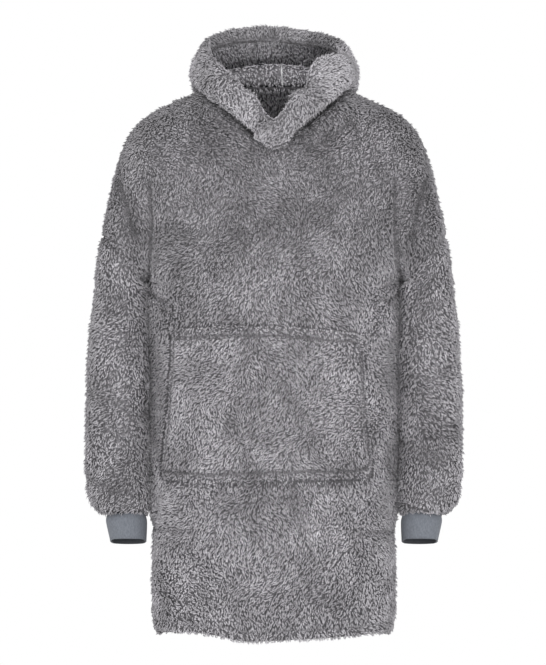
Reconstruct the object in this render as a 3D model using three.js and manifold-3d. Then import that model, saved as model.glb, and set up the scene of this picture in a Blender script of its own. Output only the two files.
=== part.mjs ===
// An oversized hooded pullover in deep-pile fleece, filled out as if it were worn, with nobody in it.
// Front and back panels reach over a dropped shoulder. Two sleeves end in knitted cuffs, a two-piece hood
// lies back behind the neck and crosses over at the throat, and one wide pocket is sewn on the front.
// Millimetres, +Z up, the front faces -Y. The origin lies between the wearer's shoulders.
import * as THREE from "three";
import { mergeVertices } from "three/addons/utils/BufferGeometryUtils.js";
import Module from "manifold-3d";

// Cloth
const CLOTH = 10; // a knit ground with deep pile outside and short pile inside
const CUFF_CLOTH = 3.5;
const SEAM_GAP = 0.3;
const NECK_GAP = 1.2;
const HALF_GAP = SEAM_GAP / 2;

// How finely each piece is divided
const BODY_COLUMNS = 16; // from the middle of a panel to its side
const NECK_COLUMNS = 7; // of them, how many end at the neckline
const YOKE_ROWS = 12; // from the underarm to the neck and shoulder
const RING_POINTS = 2 * YOKE_ROWS; // round a sleeve or cuff
const HOOD_STEPS = 23; // from the face edge of the hood to the neck seam

// Where the body, yoke and sleeves join
const UNDERARM = { x: 221, z: -335 };
const DROPPED_SHOULDER = { x: 303, z: -252 };
const NECK_SIDE = 118;

// Body cross sections: half the width, and how far the front and back stand off the side seams.
const TORSO = [
  { z: -966, half: 203, front: 140, back: 132 },
  { z: -946, half: 208, front: 146, back: 138 },
  { z: -920, half: 214, front: 151, back: 142 },
  { z: -840, half: 214, front: 153, back: 143 },
  { z: -700, half: 213, front: 153, back: 141 },
  { z: -520, half: 214, front: 154, back: 139 },
  { z: -390, half: 217, front: 154, back: 139 },
  { z: -335, half: 221, front: 152, back: 140 },
  { z: -300, half: 230, front: 150, back: 141 },
  { z: -250, half: 247, front: 146, back: 142 },
  { z: -200, half: 264, front: 141, back: 141 },
  { z: -155, half: 277, front: 134, back: 138 },
  { z: -95, half: 290, front: 123, back: 131 },
  { z: 0, half: 300, front: 108, back: 120 },
  { z: 60, half: 305, front: 100, back: 116 },
];
const TORSO_POWER = 2.6; // a little squarer than an ellipse

// The upper arm inside the yoke: where its inner side would be, and how far it stands front and back.
const UPPER_ARM = [
  { z: -345, inner: 221.5, front: 76, back: 80 },
  { z: -335, inner: 221, front: 77, back: 81 },
  { z: -300, inner: 219, front: 80, back: 84 },
  { z: -250, inner: 209, front: 84, back: 88 },
  { z: -200, inner: 194, front: 88, back: 92 },
  { z: -150, inner: 170, front: 88, back: 92 },
  { z: -100, inner: 130, front: 80, back: 86 },
  { z: 0, inner: 60, front: 60, back: 66 },
];
const ARM_HALF = 47;
const ARM_POWER = 2.4;
const BLEND_POWER = 8; // how sharply arm and body meet

// The shoulder line from over the neck to the dropped shoulder, and how far in the cloth rounds off from it.
const SHOULDER_LINE = [
  { x: 0, z: 54, round: 150 },
  { x: 60, z: 38, round: 150 },
  { x: NECK_SIDE, z: 8, round: 148 },
  { x: 139, z: 0, round: 144 },
  { x: 203, z: -28, round: 122 },
  { x: 239, z: -51, round: 92 },
  { x: 262, z: -86, round: 70 },
  { x: 274, z: -119, round: 60 },
  { x: 284, z: -161, round: 54 },
  { x: 295, z: -208, round: 50 },
  { x: DROPPED_SHOULDER.x, z: DROPPED_SHOULDER.z, round: 48 },
];
const ROUND_POWER = 2.2;

// The neckline as seen from the front, from the middle to the side of the neck.
const NECK_FRONT = [
  { x: 0, z: -95 },
  { x: 34, z: -75 },
  { x: 64, z: -51 },
  { x: 90, z: -28 },
  { x: 108, z: -9 },
  { x: NECK_SIDE, z: 8 },
];
const NECK_BACK = [
  { x: 0, z: 14 },
  { x: 40, z: 14 },
  { x: 75, z: 13 },
  { x: 103, z: 11 },
  { x: NECK_SIDE, z: 8 },
];
const NECK_CROWDING = 1.35; // how much closer the columns stand towards the side of the neck
const NECK_MITRE = 42; // degrees that the neck seam leans down at the side of the neck

// The bottom edge across the front, from the wearer's right to left. The back hangs level.
const HEM_FRONT = [
  { x: -225, z: -940 },
  { x: -172, z: -944 },
  { x: -110, z: -950 },
  { x: -50, z: -962 },
  { x: 0, z: -960 },
  { x: 80, z: -956 },
  { x: 150, z: -951 },
  { x: 225, z: -944 },
];
const HEM_BACK = -950;
const HEM_BAND = 17; // the turned edge, sewn down at its top
const HEM_GROOVE = 2.5;
const BODY_LEVELS = [-905, -855, -790, -715, -640, -565, -495, -430, -375];

// Soft creases and ridges in the cloth. Each runs from one end to the other as seen from the front or back;
// depth is negative for a trough.
const FRONT_FOLDS = [
  { x0: -214, z0: -165, x1: -219, z1: -335, width: 15, depth: -13 },
  { x0: 214, z0: -160, x1: 219, z1: -335, width: 15, depth: -13 },
  { x0: -260, z0: -165, x1: -243, z1: -255, width: 14, depth: -6 },
  { x0: 262, z0: -160, x1: 243, z1: -262, width: 14, depth: -6 },
  { x0: -232, z0: -175, x1: -229, z1: -290, width: 13, depth: 5 },
  { x0: 233, z0: -170, x1: 229, z1: -295, width: 13, depth: 5 },
  { x0: 128, z0: -32, x1: 62, z1: -82, width: 17, depth: 8 },
  { x0: 134, z0: -62, x1: 52, z1: -108, width: 13, depth: -5 },
  { x0: -205, z0: -352, x1: -150, z1: -345, width: 16, depth: -5 },
  { x0: 206, z0: -350, x1: 148, z1: -358, width: 16, depth: -5 },
  { x0: -212, z0: -764, x1: -140, z1: -768, width: 15, depth: -5 },
  { x0: 212, z0: -768, x1: 150, z1: -762, width: 15, depth: -5 },
  { x0: -96, z0: -720, x1: -120, z1: -930, width: 42, depth: 5 },
  { x0: 92, z0: -700, x1: 118, z1: -935, width: 48, depth: 5 },
  { x0: -10, z0: -740, x1: 8, z1: -950, width: 34, depth: -4 },
];
const BACK_FOLDS = [
  { x0: -206, z0: -190, x1: -219, z1: -335, width: 16, depth: -12 },
  { x0: 208, z0: -180, x1: 219, z1: -335, width: 16, depth: -12 },
  { x0: -120, z0: -250, x1: -190, z1: -345, width: 22, depth: -6 },
  { x0: 112, z0: -262, x1: 192, z1: -350, width: 22, depth: -6 },
  { x0: -88, z0: -380, x1: -118, z1: -900, width: 40, depth: 6 },
  { x0: 96, z0: -420, x1: 108, z1: -915, width: 44, depth: 6 },
  { x0: 6, z0: -430, x1: -6, z1: -930, width: 38, depth: -6 },
  { x0: -60, z0: -330, x1: 70, z1: -338, width: 26, depth: -4 },
];

// Sleeve rings below the armhole seam. Each ring leans from its inner to its outer side.
const SLEEVE = [
  { innerZ: -357, innerX: 222, outerZ: -281, outerX: 308, middle: -1, front: 76, back: 80 },
  { innerZ: -384, innerX: 221.5, outerZ: -318, outerX: 312, middle: -3, front: 75, back: 78 },
  { innerZ: -416, innerX: 221, outerZ: -362, outerX: 317, middle: -6, front: 74, back: 76 },
  { innerZ: -452, innerX: 220.5, outerZ: -412, outerX: 323, middle: -9, front: 73, back: 74 },
  { innerZ: -494, innerX: 220.5, outerZ: -466, outerX: 327, middle: -12, front: 72, back: 72 },
  { innerZ: -538, innerX: 220.5, outerZ: -520, outerX: 330, middle: -16, front: 71, back: 70 },
  { innerZ: -584, innerX: 220.5, outerZ: -574, outerX: 330.5, middle: -20, front: 69, back: 68 },
  { innerZ: -628, innerX: 220.5, outerZ: -624, outerX: 330.5, middle: -24, front: 67, back: 66 },
  { innerZ: -666, innerX: 220, outerZ: -666, outerX: 331, middle: -27, front: 65, back: 64 },
  { innerZ: -696, innerX: 219.5, outerZ: -698, outerX: 329.5, middle: -29, front: 62, back: 61 },
  { innerZ: -717, innerX: 219.5, outerZ: -720, outerX: 322, middle: -30, front: 57, back: 56 },
  { innerZ: -731, innerX: 219.5, outerZ: -735, outerX: 310, middle: -31, front: 49, back: 48 },
  { innerZ: -739, innerX: 221, outerZ: -742, outerX: 297, middle: -31, front: 39.5, back: 39.5 },
];
const SLEEVE_FOLDS = [
  { level: -300, turn: 0.1, width: 16, depth: -5 },
  { level: -388, turn: 0.85, width: 20, depth: -4 },
  { level: -470, turn: -0.5, width: 24, depth: -4 },
  { level: -560, turn: 0.6, width: 26, depth: -5 },
  { level: -640, turn: -0.3, width: 22, depth: -4 },
];

// Knitted cuff: a round tube sewn to the end of the sleeve. lean is how much lower the back hangs.
const CUFF = [
  { innerZ: -739.5, outerZ: -742.5, x: 258.5, half: 36.5, deep: 37, lean: 0 },
  { innerZ: -752, outerZ: -753.5, x: 257.5, half: 36.5, deep: 36.5, lean: 1 },
  { innerZ: -768, outerZ: -768.5, x: 256, half: 34.5, deep: 34.5, lean: 2 },
  { innerZ: -786.5, outerZ: -786.5, x: 254.5, half: 32, deep: 32, lean: 3 },
];
const CUFF_Y = -31;

// Hood ribs from the throat round to the nape. at is where a rib ends on the neckline: 0 in the middle of the
// front, 0.5 at the side of the neck, 1 at the nape, less than 0 across the throat on the other side. puff is
// how far a rib swells, pouch how much of it hangs behind, in shares.
const HOOD = [
  { at: -0.1, faceX: -27, faceY: -134, faceZ: -64, heading: -91, puff: 1, pouch: 0 },
  { at: 0, faceX: -4, faceY: -133, faceZ: -50, heading: -88, puff: 4, pouch: 0 },
  { at: 0.083, faceX: 21, faceY: -129, faceZ: -30, heading: -82, puff: 8, pouch: 0 },
  { at: 0.167, faceX: 43, faceY: -118, faceZ: -8, heading: -70, puff: 13, pouch: 0 },
  { at: 0.25, faceX: 60, faceY: -100, faceZ: 13, heading: -54, puff: 18, pouch: 0 },
  { at: 0.333, faceX: 77, faceY: -78, faceZ: 29, heading: -38, puff: 23, pouch: 0 },
  { at: 0.417, faceX: 92, faceY: -54, faceZ: 43, heading: -20, puff: 28, pouch: 0 },
  { at: 0.5, faceX: 103, faceY: -29, faceZ: 56, heading: -2, puff: 29, pouch: 0.01 },
  { at: 0.583, faceX: 109, faceY: -3, faceZ: 70, heading: 18, puff: 31, pouch: 0.07 },
  { at: 0.667, faceX: 102, faceY: 22, faceZ: 82, heading: 36, puff: 37, pouch: 0.22 },
  { at: 0.75, faceX: 83, faceY: 40, faceZ: 88, heading: 52, puff: 40, pouch: 0.46 },
  { at: 0.833, faceX: 56, faceY: 51, faceZ: 92, heading: 68, puff: 36, pouch: 0.72 },
  { at: 0.917, faceX: 28, faceY: 58, faceZ: 93, heading: 80, puff: 30, pouch: 0.92 },
  { at: 1, faceX: 0, faceY: 60, faceZ: 94, heading: 90, puff: 28, pouch: 1 },
];
// Points along a rib: the share of the way from the face edge to the seam, and the offset outward and up,
// for a standing band (per millimetre of puff) and for the part that hangs behind (in millimetres).
const RIB = [
  { share: 0.06, bandOut: 0.35, bandUp: 0.35, pouchOut: 16, pouchUp: 27 },
  { share: 0.16, bandOut: 0.62, bandUp: 0.42, pouchOut: 51, pouchUp: 27 },
  { share: 0.3, bandOut: 0.88, bandUp: 0.28, pouchOut: 90, pouchUp: 5 },
  { share: 0.44, bandOut: 1, bandUp: 0.12, pouchOut: 113, pouchUp: -39 },
  { share: 0.58, bandOut: 1, bandUp: 0, pouchOut: 120, pouchUp: -98 },
  { share: 0.68, bandOut: 0.92, bandUp: -0.06, pouchOut: 108, pouchUp: -152 },
  { share: 0.76, bandOut: 0.82, bandUp: -0.1, pouchOut: 84, pouchUp: -182 },
  { share: 0.84, bandOut: 0.66, bandUp: -0.1, pouchOut: 60, pouchUp: -128 },
  { share: 0.9, bandOut: 0.48, bandUp: -0.04, pouchOut: 38, pouchUp: -43 },
  { share: 0.94, bandOut: 0.32, bandUp: 0.02, pouchOut: 22, pouchUp: 12 },
  { share: 0.965, bandOut: 0.2, bandUp: 0.04, pouchOut: 11, pouchUp: 27 },
  { share: 0.985, bandOut: 0.09, bandUp: 0.04, pouchOut: 1.5, pouchUp: 19 },
];
// On the wearer's left the face edge rolls in towards the middle: how far it moves.
const HOOD_ROLL = [
  { at: 0.16, x: 0, y: 0, z: 0 },
  { at: 0.25, x: -8, y: -4, z: 1 },
  { at: 0.333, x: -18, y: -8, z: 13 },
  { at: 0.417, x: -11, y: -8, z: 14 },
  { at: 0.5, x: 1, y: 0, z: 0 },
  { at: 0.583, x: 3, y: 0, z: -8 },
  { at: 0.75, x: 6, y: 0, z: -5 },
  { at: 0.917, x: 4, y: 0, z: -4 },
  { at: 0.99, x: 0, y: 0, z: 0 },
];
const HOOD_REST = 3; // clearance of the hood over the back and shoulders
const HOOD_BAND = 34; // turned edge round the face opening
const HOOD_BAND_CLOTH = 12;
// At the throat the two halves lie flat on each other, as seen from the side.
const THROAT = { lowZ: -95, lowY: -124, highZ: -47, highY: -134, overlap: 16.6, flat: 35, fades: 58 };
const THROAT_DROP = [9, 5, 0]; // how far the upper half reaches below the neckline, by rib
const HOOD_FOLDS = [
  { at: 1, step: 0.3, across: 0.23, along: 0.06, depth: -8 },
  { at: 0.792, step: 0.42, across: 0.13, along: 0.06, depth: 5 },
  { at: 0.917, step: 0.54, across: 0.2, along: 0.06, depth: -6 },
  { at: 0.667, step: 0.3, across: 0.08, along: 0.1, depth: -5 },
  { at: 0.417, step: 0.5, across: 0.07, along: 0.16, depth: -3 },
];

// Pocket, as seen from the front, round from its bottom corner on the wearer's right
const POCKET = [
  { x: -195, z: -676 },
  { x: -198, z: -664 },
  { x: -187, z: -563 },
  { x: -178, z: -424 },
  { x: -171, z: -414 },
  { x: -80, z: -410 },
  { x: 30, z: -411 },
  { x: 146, z: -421 },
  { x: 155, z: -430 },
  { x: 163, z: -525 },
  { x: 173, z: -655 },
  { x: 168, z: -669 },
  { x: 140, z: -674 },
  { x: 20, z: -676 },
  { x: -110, z: -681 },
];
const POCKET_CLOTH = 9;
const POCKET_LIFT = 0.8;
const POCKET_GAPE = 3; // how far the hand openings at the sides stand off the front

const CLOTH_GREY = 0x807e82;
const KNIT_GREY = 0x787c85;

const rad = (degrees) => (degrees * Math.PI) / 180;
const clamp = (value, low, high) => Math.min(high, Math.max(low, value));
const mix = (a, b, share) => a + (b - a) * share;

// A smooth reading of one column of a table against another, with no overshoot between its rows.
function reading(rows, by, column) {
  const x = rows.map((row) => row[by]);
  const y = rows.map((row) => row[column]);
  const slope = x.slice(1).map((next, i) => (y[i + 1] - y[i]) / (next - x[i]));
  const tangent = y.map((_, i) => {
    if (i === 0) return slope[0];
    if (i === y.length - 1) return slope[i - 1];
    if (slope[i - 1] * slope[i] <= 0) return 0;
    return (2 * slope[i - 1] * slope[i]) / (slope[i - 1] + slope[i]);
  });
  return (value) => {
    const v = clamp(value, x[0], x[x.length - 1]);
    let i = x.findIndex((next) => next > v) - 1;
    if (i < 0) i = x.length - 2;
    const width = x[i + 1] - x[i];
    const t = (v - x[i]) / width;
    const h = t * t * (3 - 2 * t);
    return (
      mix(y[i], y[i + 1], h) +
      width * (tangent[i] * t * (1 - t) * (1 - t) - tangent[i + 1] * t * t * (1 - t))
    );
  };
}

const torsoHalf = reading(TORSO, "z", "half");
const armInner = reading(UPPER_ARM, "z", "inner");
const depthOf = {
  front: { torso: reading(TORSO, "z", "front"), arm: reading(UPPER_ARM, "z", "front") },
  back: { torso: reading(TORSO, "z", "back"), arm: reading(UPPER_ARM, "z", "back") },
};
const hemFront = reading(HEM_FRONT, "x", "z");

// The shoulder line as a smooth curve. x and z are places in the plane of the seam, y is the rounding.
const shoulderCurve = new THREE.CatmullRomCurve3(
  SHOULDER_LINE.map((row) => new THREE.Vector3(row.x, row.round, row.z)),
  false,
  "centripetal",
);
const shoulderPoints = shoulderCurve.getSpacedPoints(220);
const shoulderZ = reading(
  SHOULDER_LINE.map((row) => ({ x: row.x, z: row.z })),
  "x",
  "z",
);

// 0 at the shoulder line, rising to 1 where the cloth has rounded off.
function roundingAt(x, z) {
  let nearest = Infinity;
  let round = 1;
  for (const p of shoulderPoints) {
    const away = Math.hypot(p.x - x, p.z - z);
    if (away < nearest) {
      nearest = away;
      round = p.y;
    }
  }
  const left = 1 - clamp(nearest / round, 0, 1);
  return Math.pow(1 - Math.pow(left, ROUND_POWER), 1 / ROUND_POWER);
}

function superellipse(share, power) {
  return Math.pow(Math.max(0, 1 - Math.pow(clamp(Math.abs(share), 0, 1), power)), 1 / power);
}

// How much a fold lifts the cloth at a point seen from the front: a ridge or trough with soft ends.
function foldHeight(folds, x, z) {
  let height = 0;
  for (const fold of folds) {
    const dx = fold.x1 - fold.x0;
    const dz = fold.z1 - fold.z0;
    const along = ((x - fold.x0) * dx + (z - fold.z0) * dz) / (dx * dx + dz * dz);
    const near = clamp(along, 0, 1);
    const away = Math.hypot(x - fold.x0 - near * dx, z - fold.z0 - near * dz) / fold.width;
    height += fold.depth * Math.exp(-away * away);
  }
  return height;
}

// How far the front or back of the garment stands off the plane of the side seams.
function standOff(face, x, z) {
  const across = Math.abs(x);
  const torso = depthOf[face].torso(z) * superellipse(across / torsoHalf(z), TORSO_POWER);
  if (z <= UNDERARM.z) return torso;
  const inner = armInner(z);
  const outer = outerAt(z);
  const share = clamp((outer - ARM_HALF - across) / (outer - ARM_HALF - inner), 0, 1);
  const arm = depthOf[face].arm(z) * (across > inner ? superellipse(share, ARM_POWER) : 0);
  if (z > shoulderZ(across) + 0.5) return 0;
  const both = Math.pow(Math.pow(torso, BLEND_POWER) + Math.pow(arm, BLEND_POWER), 1 / BLEND_POWER);
  return both * roundingAt(across, z);
}

// Outer side of the shoulder and sleeve at a height.
const OUTLINE = [
  ...SLEEVE.filter((ring) => ring.outerZ > -420).map((ring) => ({ x: ring.outerX, z: ring.outerZ })),
  ...SHOULDER_LINE.map((row) => ({ x: row.x, z: row.z })),
].sort((a, b) => a.z - b.z);
const outerAt = reading(OUTLINE, "z", "x");

// A point on the outside of the front or back, with its folds, seen at x and z.
function clothPoint(face, x, z) {
  const flat = standOff(face, x, z);
  const folds = face === "front" ? FRONT_FOLDS : BACK_FOLDS;
  const body = clamp(flat / 40, 0, 1);
  const depth = Math.max(0, flat + foldHeight(folds, x, z) * body);
  const side = face === "front" ? -1 : 1;
  return new THREE.Vector3(x, side * Math.max(depth, HALF_GAP), z);
}

// Closes a sheet of outer points into a wall. thickness and inward may vary from point to point; a sheet
// that is closed across joins its last column to its first.
function wall(rows, { closed = false, thickness = () => CLOTH, inward } = {}) {
  const high = rows.length;
  const wide = rows[0].length;
  const at = (i, j) => rows[clamp(i, 0, high - 1)][closed ? (j + wide) % wide : clamp(j, 0, wide - 1)];
  const inner = rows.map((row, i) =>
    row.map((point, j) => {
      const along = at(i + 1, j).clone().sub(at(i - 1, j));
      const across = at(i, j + 1).clone().sub(at(i, j - 1));
      const normal = across.cross(along).normalize();
      const step = inward ? inward(i, j, normal) : normal.negate();
      return point.clone().addScaledVector(step, thickness(i, j));
    }),
  );
  const points = [...rows.flat(), ...inner.flat()];
  const outside = (i, j) => i * wide + (j % wide);
  const inside = (i, j) => high * wide + outside(i, j);
  const faces = [];
  const quad = (a, b, c, d) => faces.push([a, b, c], [a, c, d]);
  const columns = closed ? wide : wide - 1;
  for (let i = 0; i < high - 1; i += 1) {
    for (let j = 0; j < columns; j += 1) {
      quad(outside(i, j), outside(i, j + 1), outside(i + 1, j + 1), outside(i + 1, j));
      quad(inside(i, j), inside(i + 1, j), inside(i + 1, j + 1), inside(i, j + 1));
    }
    if (!closed) {
      quad(outside(i, 0), outside(i + 1, 0), inside(i + 1, 0), inside(i, 0));
      quad(outside(i, columns), inside(i, columns), inside(i + 1, columns), outside(i + 1, columns));
    }
  }
  for (let j = 0; j < columns; j += 1) {
    quad(outside(0, j), inside(0, j), inside(0, j + 1), outside(0, j + 1));
    const last = high - 1;
    quad(outside(last, j), outside(last, j + 1), inside(last, j + 1), inside(last, j));
  }
  const geometry = new THREE.BufferGeometry();
  geometry.setAttribute("position", new THREE.Float32BufferAttribute(points.flatMap((p) => p.toArray()), 3));
  geometry.setIndex(faces.flat());
  return geometry;
}

function turnedOver(geometry) {
  const index = geometry.index.array;
  for (let i = 0; i < index.length; i += 3) {
    [index[i + 1], index[i + 2]] = [index[i + 2], index[i + 1]];
  }
  return geometry;
}

function mirrored(geometry) {
  return turnedOver(geometry.clone().scale(-1, 1, 1));
}

function curveSeenFromFront(corners) {
  const points = corners.map((corner) => new THREE.Vector3(corner.x, 0, corner.z));
  return new THREE.CatmullRomCurve3(points, false, "centripetal");
}
const neckReading = { front: curveSeenFromFront(NECK_FRONT), back: curveSeenFromFront(NECK_BACK) };

// Where the shoulder line leaves the neck, as a share of its whole length.
const NECK_SHARE = (() => {
  const found = shoulderPoints.findIndex((p) => p.x >= NECK_SIDE);
  return found / (shoulderPoints.length - 1);
})();

// Share of the way from the middle to the side of the neck at a column.
const neckShare = (column) => 1 - Math.pow(1 - column / NECK_COLUMNS, NECK_CROWDING);

// The neckline measured along the cloth, as points seen from the front.
function neckStops(face) {
  const fine = neckReading[face].getSpacedPoints(200);
  const lengths = [0];
  for (let i = 1; i < fine.length; i += 1) {
    const here = clothPoint(face, fine[i].x, fine[i].z);
    const before = clothPoint(face, fine[i - 1].x, fine[i - 1].z);
    lengths.push(lengths[i - 1] + here.distanceTo(before));
  }
  const whole = lengths[lengths.length - 1];
  return Array.from({ length: NECK_COLUMNS + 1 }, (_, column) => {
    const wanted = whole * neckShare(column);
    return fine[Math.max(0, lengths.findIndex((length) => length >= wanted - 1e-6))];
  });
}
const neckPoints = { front: neckStops("front"), back: neckStops("back") };

// The top edge of a panel seen from the front: the neckline, then the shoulder line.
function topEdge(face, column) {
  if (column <= NECK_COLUMNS) return neckPoints[face][column];
  const along = (column - NECK_COLUMNS) / (BODY_COLUMNS - NECK_COLUMNS);
  return shoulderCurve.getPointAt(mix(NECK_SHARE, 1, along));
}

// Which way the cloth's thickness runs at the neckline, so that hood and body meet face to face.
function neckInward(point) {
  const lean = rad(NECK_MITRE) * Math.pow(clamp(Math.abs(point.x) / NECK_SIDE, 0, 1), 2);
  const level = new THREE.Vector3(-point.x, -(point.y + 14), 0).normalize();
  return level.multiplyScalar(Math.cos(lean)).setZ(-Math.sin(lean));
}

const armholeLine = new THREE.Vector3(
  DROPPED_SHOULDER.x - UNDERARM.x,
  0,
  DROPPED_SHOULDER.z - UNDERARM.z,
).normalize();
const armholeNormal = new THREE.Vector3(-armholeLine.z, 0, armholeLine.x).negate();
const armholeMiddle = new THREE.Vector3(
  (DROPPED_SHOULDER.x + UNDERARM.x) / 2,
  0,
  (DROPPED_SHOULDER.z + UNDERARM.z) / 2,
);

// Share of the way up the armhole for a yoke row, closer together at both ends.
const armholeShare = (row) => (1 - Math.cos((Math.PI * row) / YOKE_ROWS)) / 2;

// A point of the armhole seam on the front or back.
function armholePoint(face, row) {
  const share = armholeShare(row);
  const x = mix(UNDERARM.x, DROPPED_SHOULDER.x, share);
  const z = mix(UNDERARM.z, DROPPED_SHOULDER.z, share);
  return clothPoint(face, x, z);
}

// Columns of a body row, closer together towards the side seam.
const columnShare = (column) => Math.sin((Math.PI / 2) * (Math.abs(column) / BODY_COLUMNS));

function lowerX(z, column) {
  const share = Math.pow(columnShare(column), 2 / TORSO_POWER);
  return Math.sign(column) * torsoHalf(z) * share;
}

// Rows of a panel from the hem up to the underarm.
function lowerRows(face) {
  const hem = (x) => (face === "front" ? hemFront(x) : HEM_BACK);
  const steps = [0, HEM_BAND - 4, HEM_BAND, HEM_BAND + 4, HEM_BAND + 16];
  const rows = [];
  const columns = Array.from({ length: 2 * BODY_COLUMNS + 1 }, (_, j) => j - BODY_COLUMNS);
  for (const step of steps) {
    rows.push(
      columns.map((column) => {
        const z = hem(lowerX(-940, column)) + step;
        const point = clothPoint(face, lowerX(z, column), z);
        const groove = step === HEM_BAND ? HEM_GROOVE : 0;
        point.y -= Math.sign(point.y) * Math.min(groove, Math.max(0, Math.abs(point.y) - HALF_GAP));
        return point;
      }),
    );
  }
  for (const z of [...BODY_LEVELS, UNDERARM.z]) {
    rows.push(columns.map((column) => clothPoint(face, lowerX(z, column), z)));
  }
  return rows;
}

// Rows of a panel from just above the underarm to the neckline and shoulder seam, filled in between the
// row at the underarm, the middle line, the armhole and the top edge.
function upperRows(face) {
  const rows = [];
  const neck = topEdge(face, 0);
  for (let i = 1; i <= YOKE_ROWS; i += 1) {
    const v = armholeShare(i);
    const row = [];
    for (let j = 0; j <= BODY_COLUMNS; j += 1) {
      const u = mix(columnShare(j), j / BODY_COLUMNS, Math.min(1, 2.5 * v));
      const lowX = mix(lowerX(UNDERARM.z, j), UNDERARM.x * u, Math.min(1, 2.5 * v));
      const top = topEdge(face, j);
      const middle = { x: 0, z: mix(UNDERARM.z, neck.z, v) };
      const side = {
        x: mix(UNDERARM.x, DROPPED_SHOULDER.x, v),
        z: mix(UNDERARM.z, DROPPED_SHOULDER.z, v),
      };
      const cornersX = u * mix(UNDERARM.x, DROPPED_SHOULDER.x, v);
      const cornersZ = mix(UNDERARM.z, mix(neck.z, DROPPED_SHOULDER.z, u), v);
      const x = mix(lowX, top.x, v) + mix(middle.x, side.x, u) - cornersX;
      const z = mix(UNDERARM.z, top.z, v) + mix(middle.z, side.z, u) - cornersZ;
      const point = clothPoint(face, x, z);
      if (i === YOKE_ROWS && j >= NECK_COLUMNS) point.y = Math.sign(point.y) * HALF_GAP;
      row.push(point);
    }
    const other = row.slice(1).map((point) => {
      const across = clothPoint(face, -point.x, point.z);
      if (Math.abs(point.y) === HALF_GAP) across.y = point.y;
      return across;
    });
    rows.push([...other.reverse(), ...row]);
  }
  return rows;
}

// A front or back panel as one wall, with its edges cut square to the seams they meet.
function panel(face) {
  const lower = lowerRows(face);
  const rows = [...lower, ...upperRows(face)];
  const underarmRow = lower.length - 1;
  const top = rows.length - 1;
  const last = 2 * BODY_COLUMNS;
  const outward = face === "front" ? 1 : -1;
  const inward = (i, j, normal) => {
    const step = normal.clone().multiplyScalar(-outward);
    const atSide = j === 0 || j === last;
    const mirror = j < BODY_COLUMNS ? -1 : 1;
    if (i === top && Math.abs(j - BODY_COLUMNS) <= NECK_COLUMNS) return neckInward(rows[i][j]);
    if (i === top || (atSide && i < underarmRow)) return step.setY(0).normalize();
    if (atSide && i === underarmRow) return new THREE.Vector3(-0.35 * mirror, 0, 0.94);
    if (i < underarmRow) return step;
    const square = armholeNormal.clone();
    square.x *= mirror;
    if (atSide) return step.addScaledVector(square, -step.dot(square)).normalize();
    const middle = armholeMiddle.clone();
    middle.x *= mirror;
    const past = rows[i][j].clone().addScaledVector(step, CLOTH).sub(middle).dot(square);
    return past > -SEAM_GAP ? step.addScaledVector(square, -(past + SEAM_GAP) / CLOTH) : step;
  };
  const geometry = wall(rows, { inward });
  return { rows, geometry: face === "front" ? geometry : turnedOver(geometry) };
}

// Rings of the right-hand sleeve (+X), each a loop that starts at the inner side and goes round the front.
function sleeveRings() {
  const first = [];
  for (let k = 0; k < YOKE_ROWS; k += 1) first.push(armholePoint("front", k));
  for (let k = YOKE_ROWS; k > 0; k -= 1) first.push(armholePoint("back", k));
  for (const k of [0, YOKE_ROWS]) first[k].y = 0;
  const rings = [first.map((p) => p.clone().addScaledVector(armholeNormal, 2 * SEAM_GAP))];
  for (const ring of SLEEVE) {
    const loop = [];
    for (let k = 0; k < RING_POINTS; k += 1) {
      const angle = Math.PI * (k / YOKE_ROWS);
      const across = (1 - Math.sign(Math.cos(angle)) * Math.pow(Math.abs(Math.cos(angle)), 0.88)) / 2;
      const deep = Math.sign(Math.sin(angle)) * Math.pow(Math.abs(Math.sin(angle)), 0.84);
      const z = mix(ring.innerZ, ring.outerZ, across);
      const swell = sleeveFold(z, k / RING_POINTS);
      const reach = deep > 0 ? ring.front : ring.back;
      loop.push(
        new THREE.Vector3(
          mix(ring.innerX, ring.outerX, across),
          ring.middle - deep * (reach + swell),
          z,
        ),
      );
    }
    rings.push(loop);
  }
  return rings;
}

// Slanting creases round the sleeve, strongest on one side of it.
function sleeveFold(z, turn) {
  let height = 0;
  for (const fold of SLEEVE_FOLDS) {
    const slant = 14 * Math.cos(2 * Math.PI * (turn - fold.turn));
    const away = (z - fold.level - slant) / fold.width;
    const facing = 0.5 + 0.5 * Math.cos(2 * Math.PI * (turn - fold.turn / 2));
    height += fold.depth * Math.exp(-away * away) * facing;
  }
  return height;
}

// The direction of a ring's own flat, square to the line from its first point to the opposite one.
function levelWith(ring, direction) {
  const across = ring[RING_POINTS / 2].clone().sub(ring[0]);
  const square = new THREE.Vector3(-across.z, 0, across.x).normalize();
  return direction.clone().addScaledVector(square, -direction.dot(square)).normalize();
}

function sleeve() {
  const rings = sleeveRings();
  const last = rings.length - 1;
  const inward = (i, j, normal) => {
    if (i === 0) {
      return normal.clone().addScaledVector(armholeNormal, -normal.dot(armholeNormal)).normalize();
    }
    return i === last ? levelWith(rings[i], normal) : normal.clone();
  };
  return turnedOver(wall(rings, { closed: true, inward }));
}

function cuff() {
  const rings = CUFF.map((ring) =>
    Array.from({ length: RING_POINTS }, (_, k) => {
      const angle = (2 * Math.PI * k) / RING_POINTS;
      const across = (1 - Math.cos(angle)) / 2;
      const deep = Math.sin(angle);
      return new THREE.Vector3(
        ring.x - ring.half * Math.cos(angle),
        CUFF_Y - ring.deep * deep,
        mix(ring.innerZ, ring.outerZ, across) + ring.lean * deep,
      );
    }),
  );
  const inward = (i, j, normal) => (i === 0 ? levelWith(rings[i], normal) : normal.clone());
  return turnedOver(wall(rings, { closed: true, thickness: () => CUFF_CLOTH, inward }));
}

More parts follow.
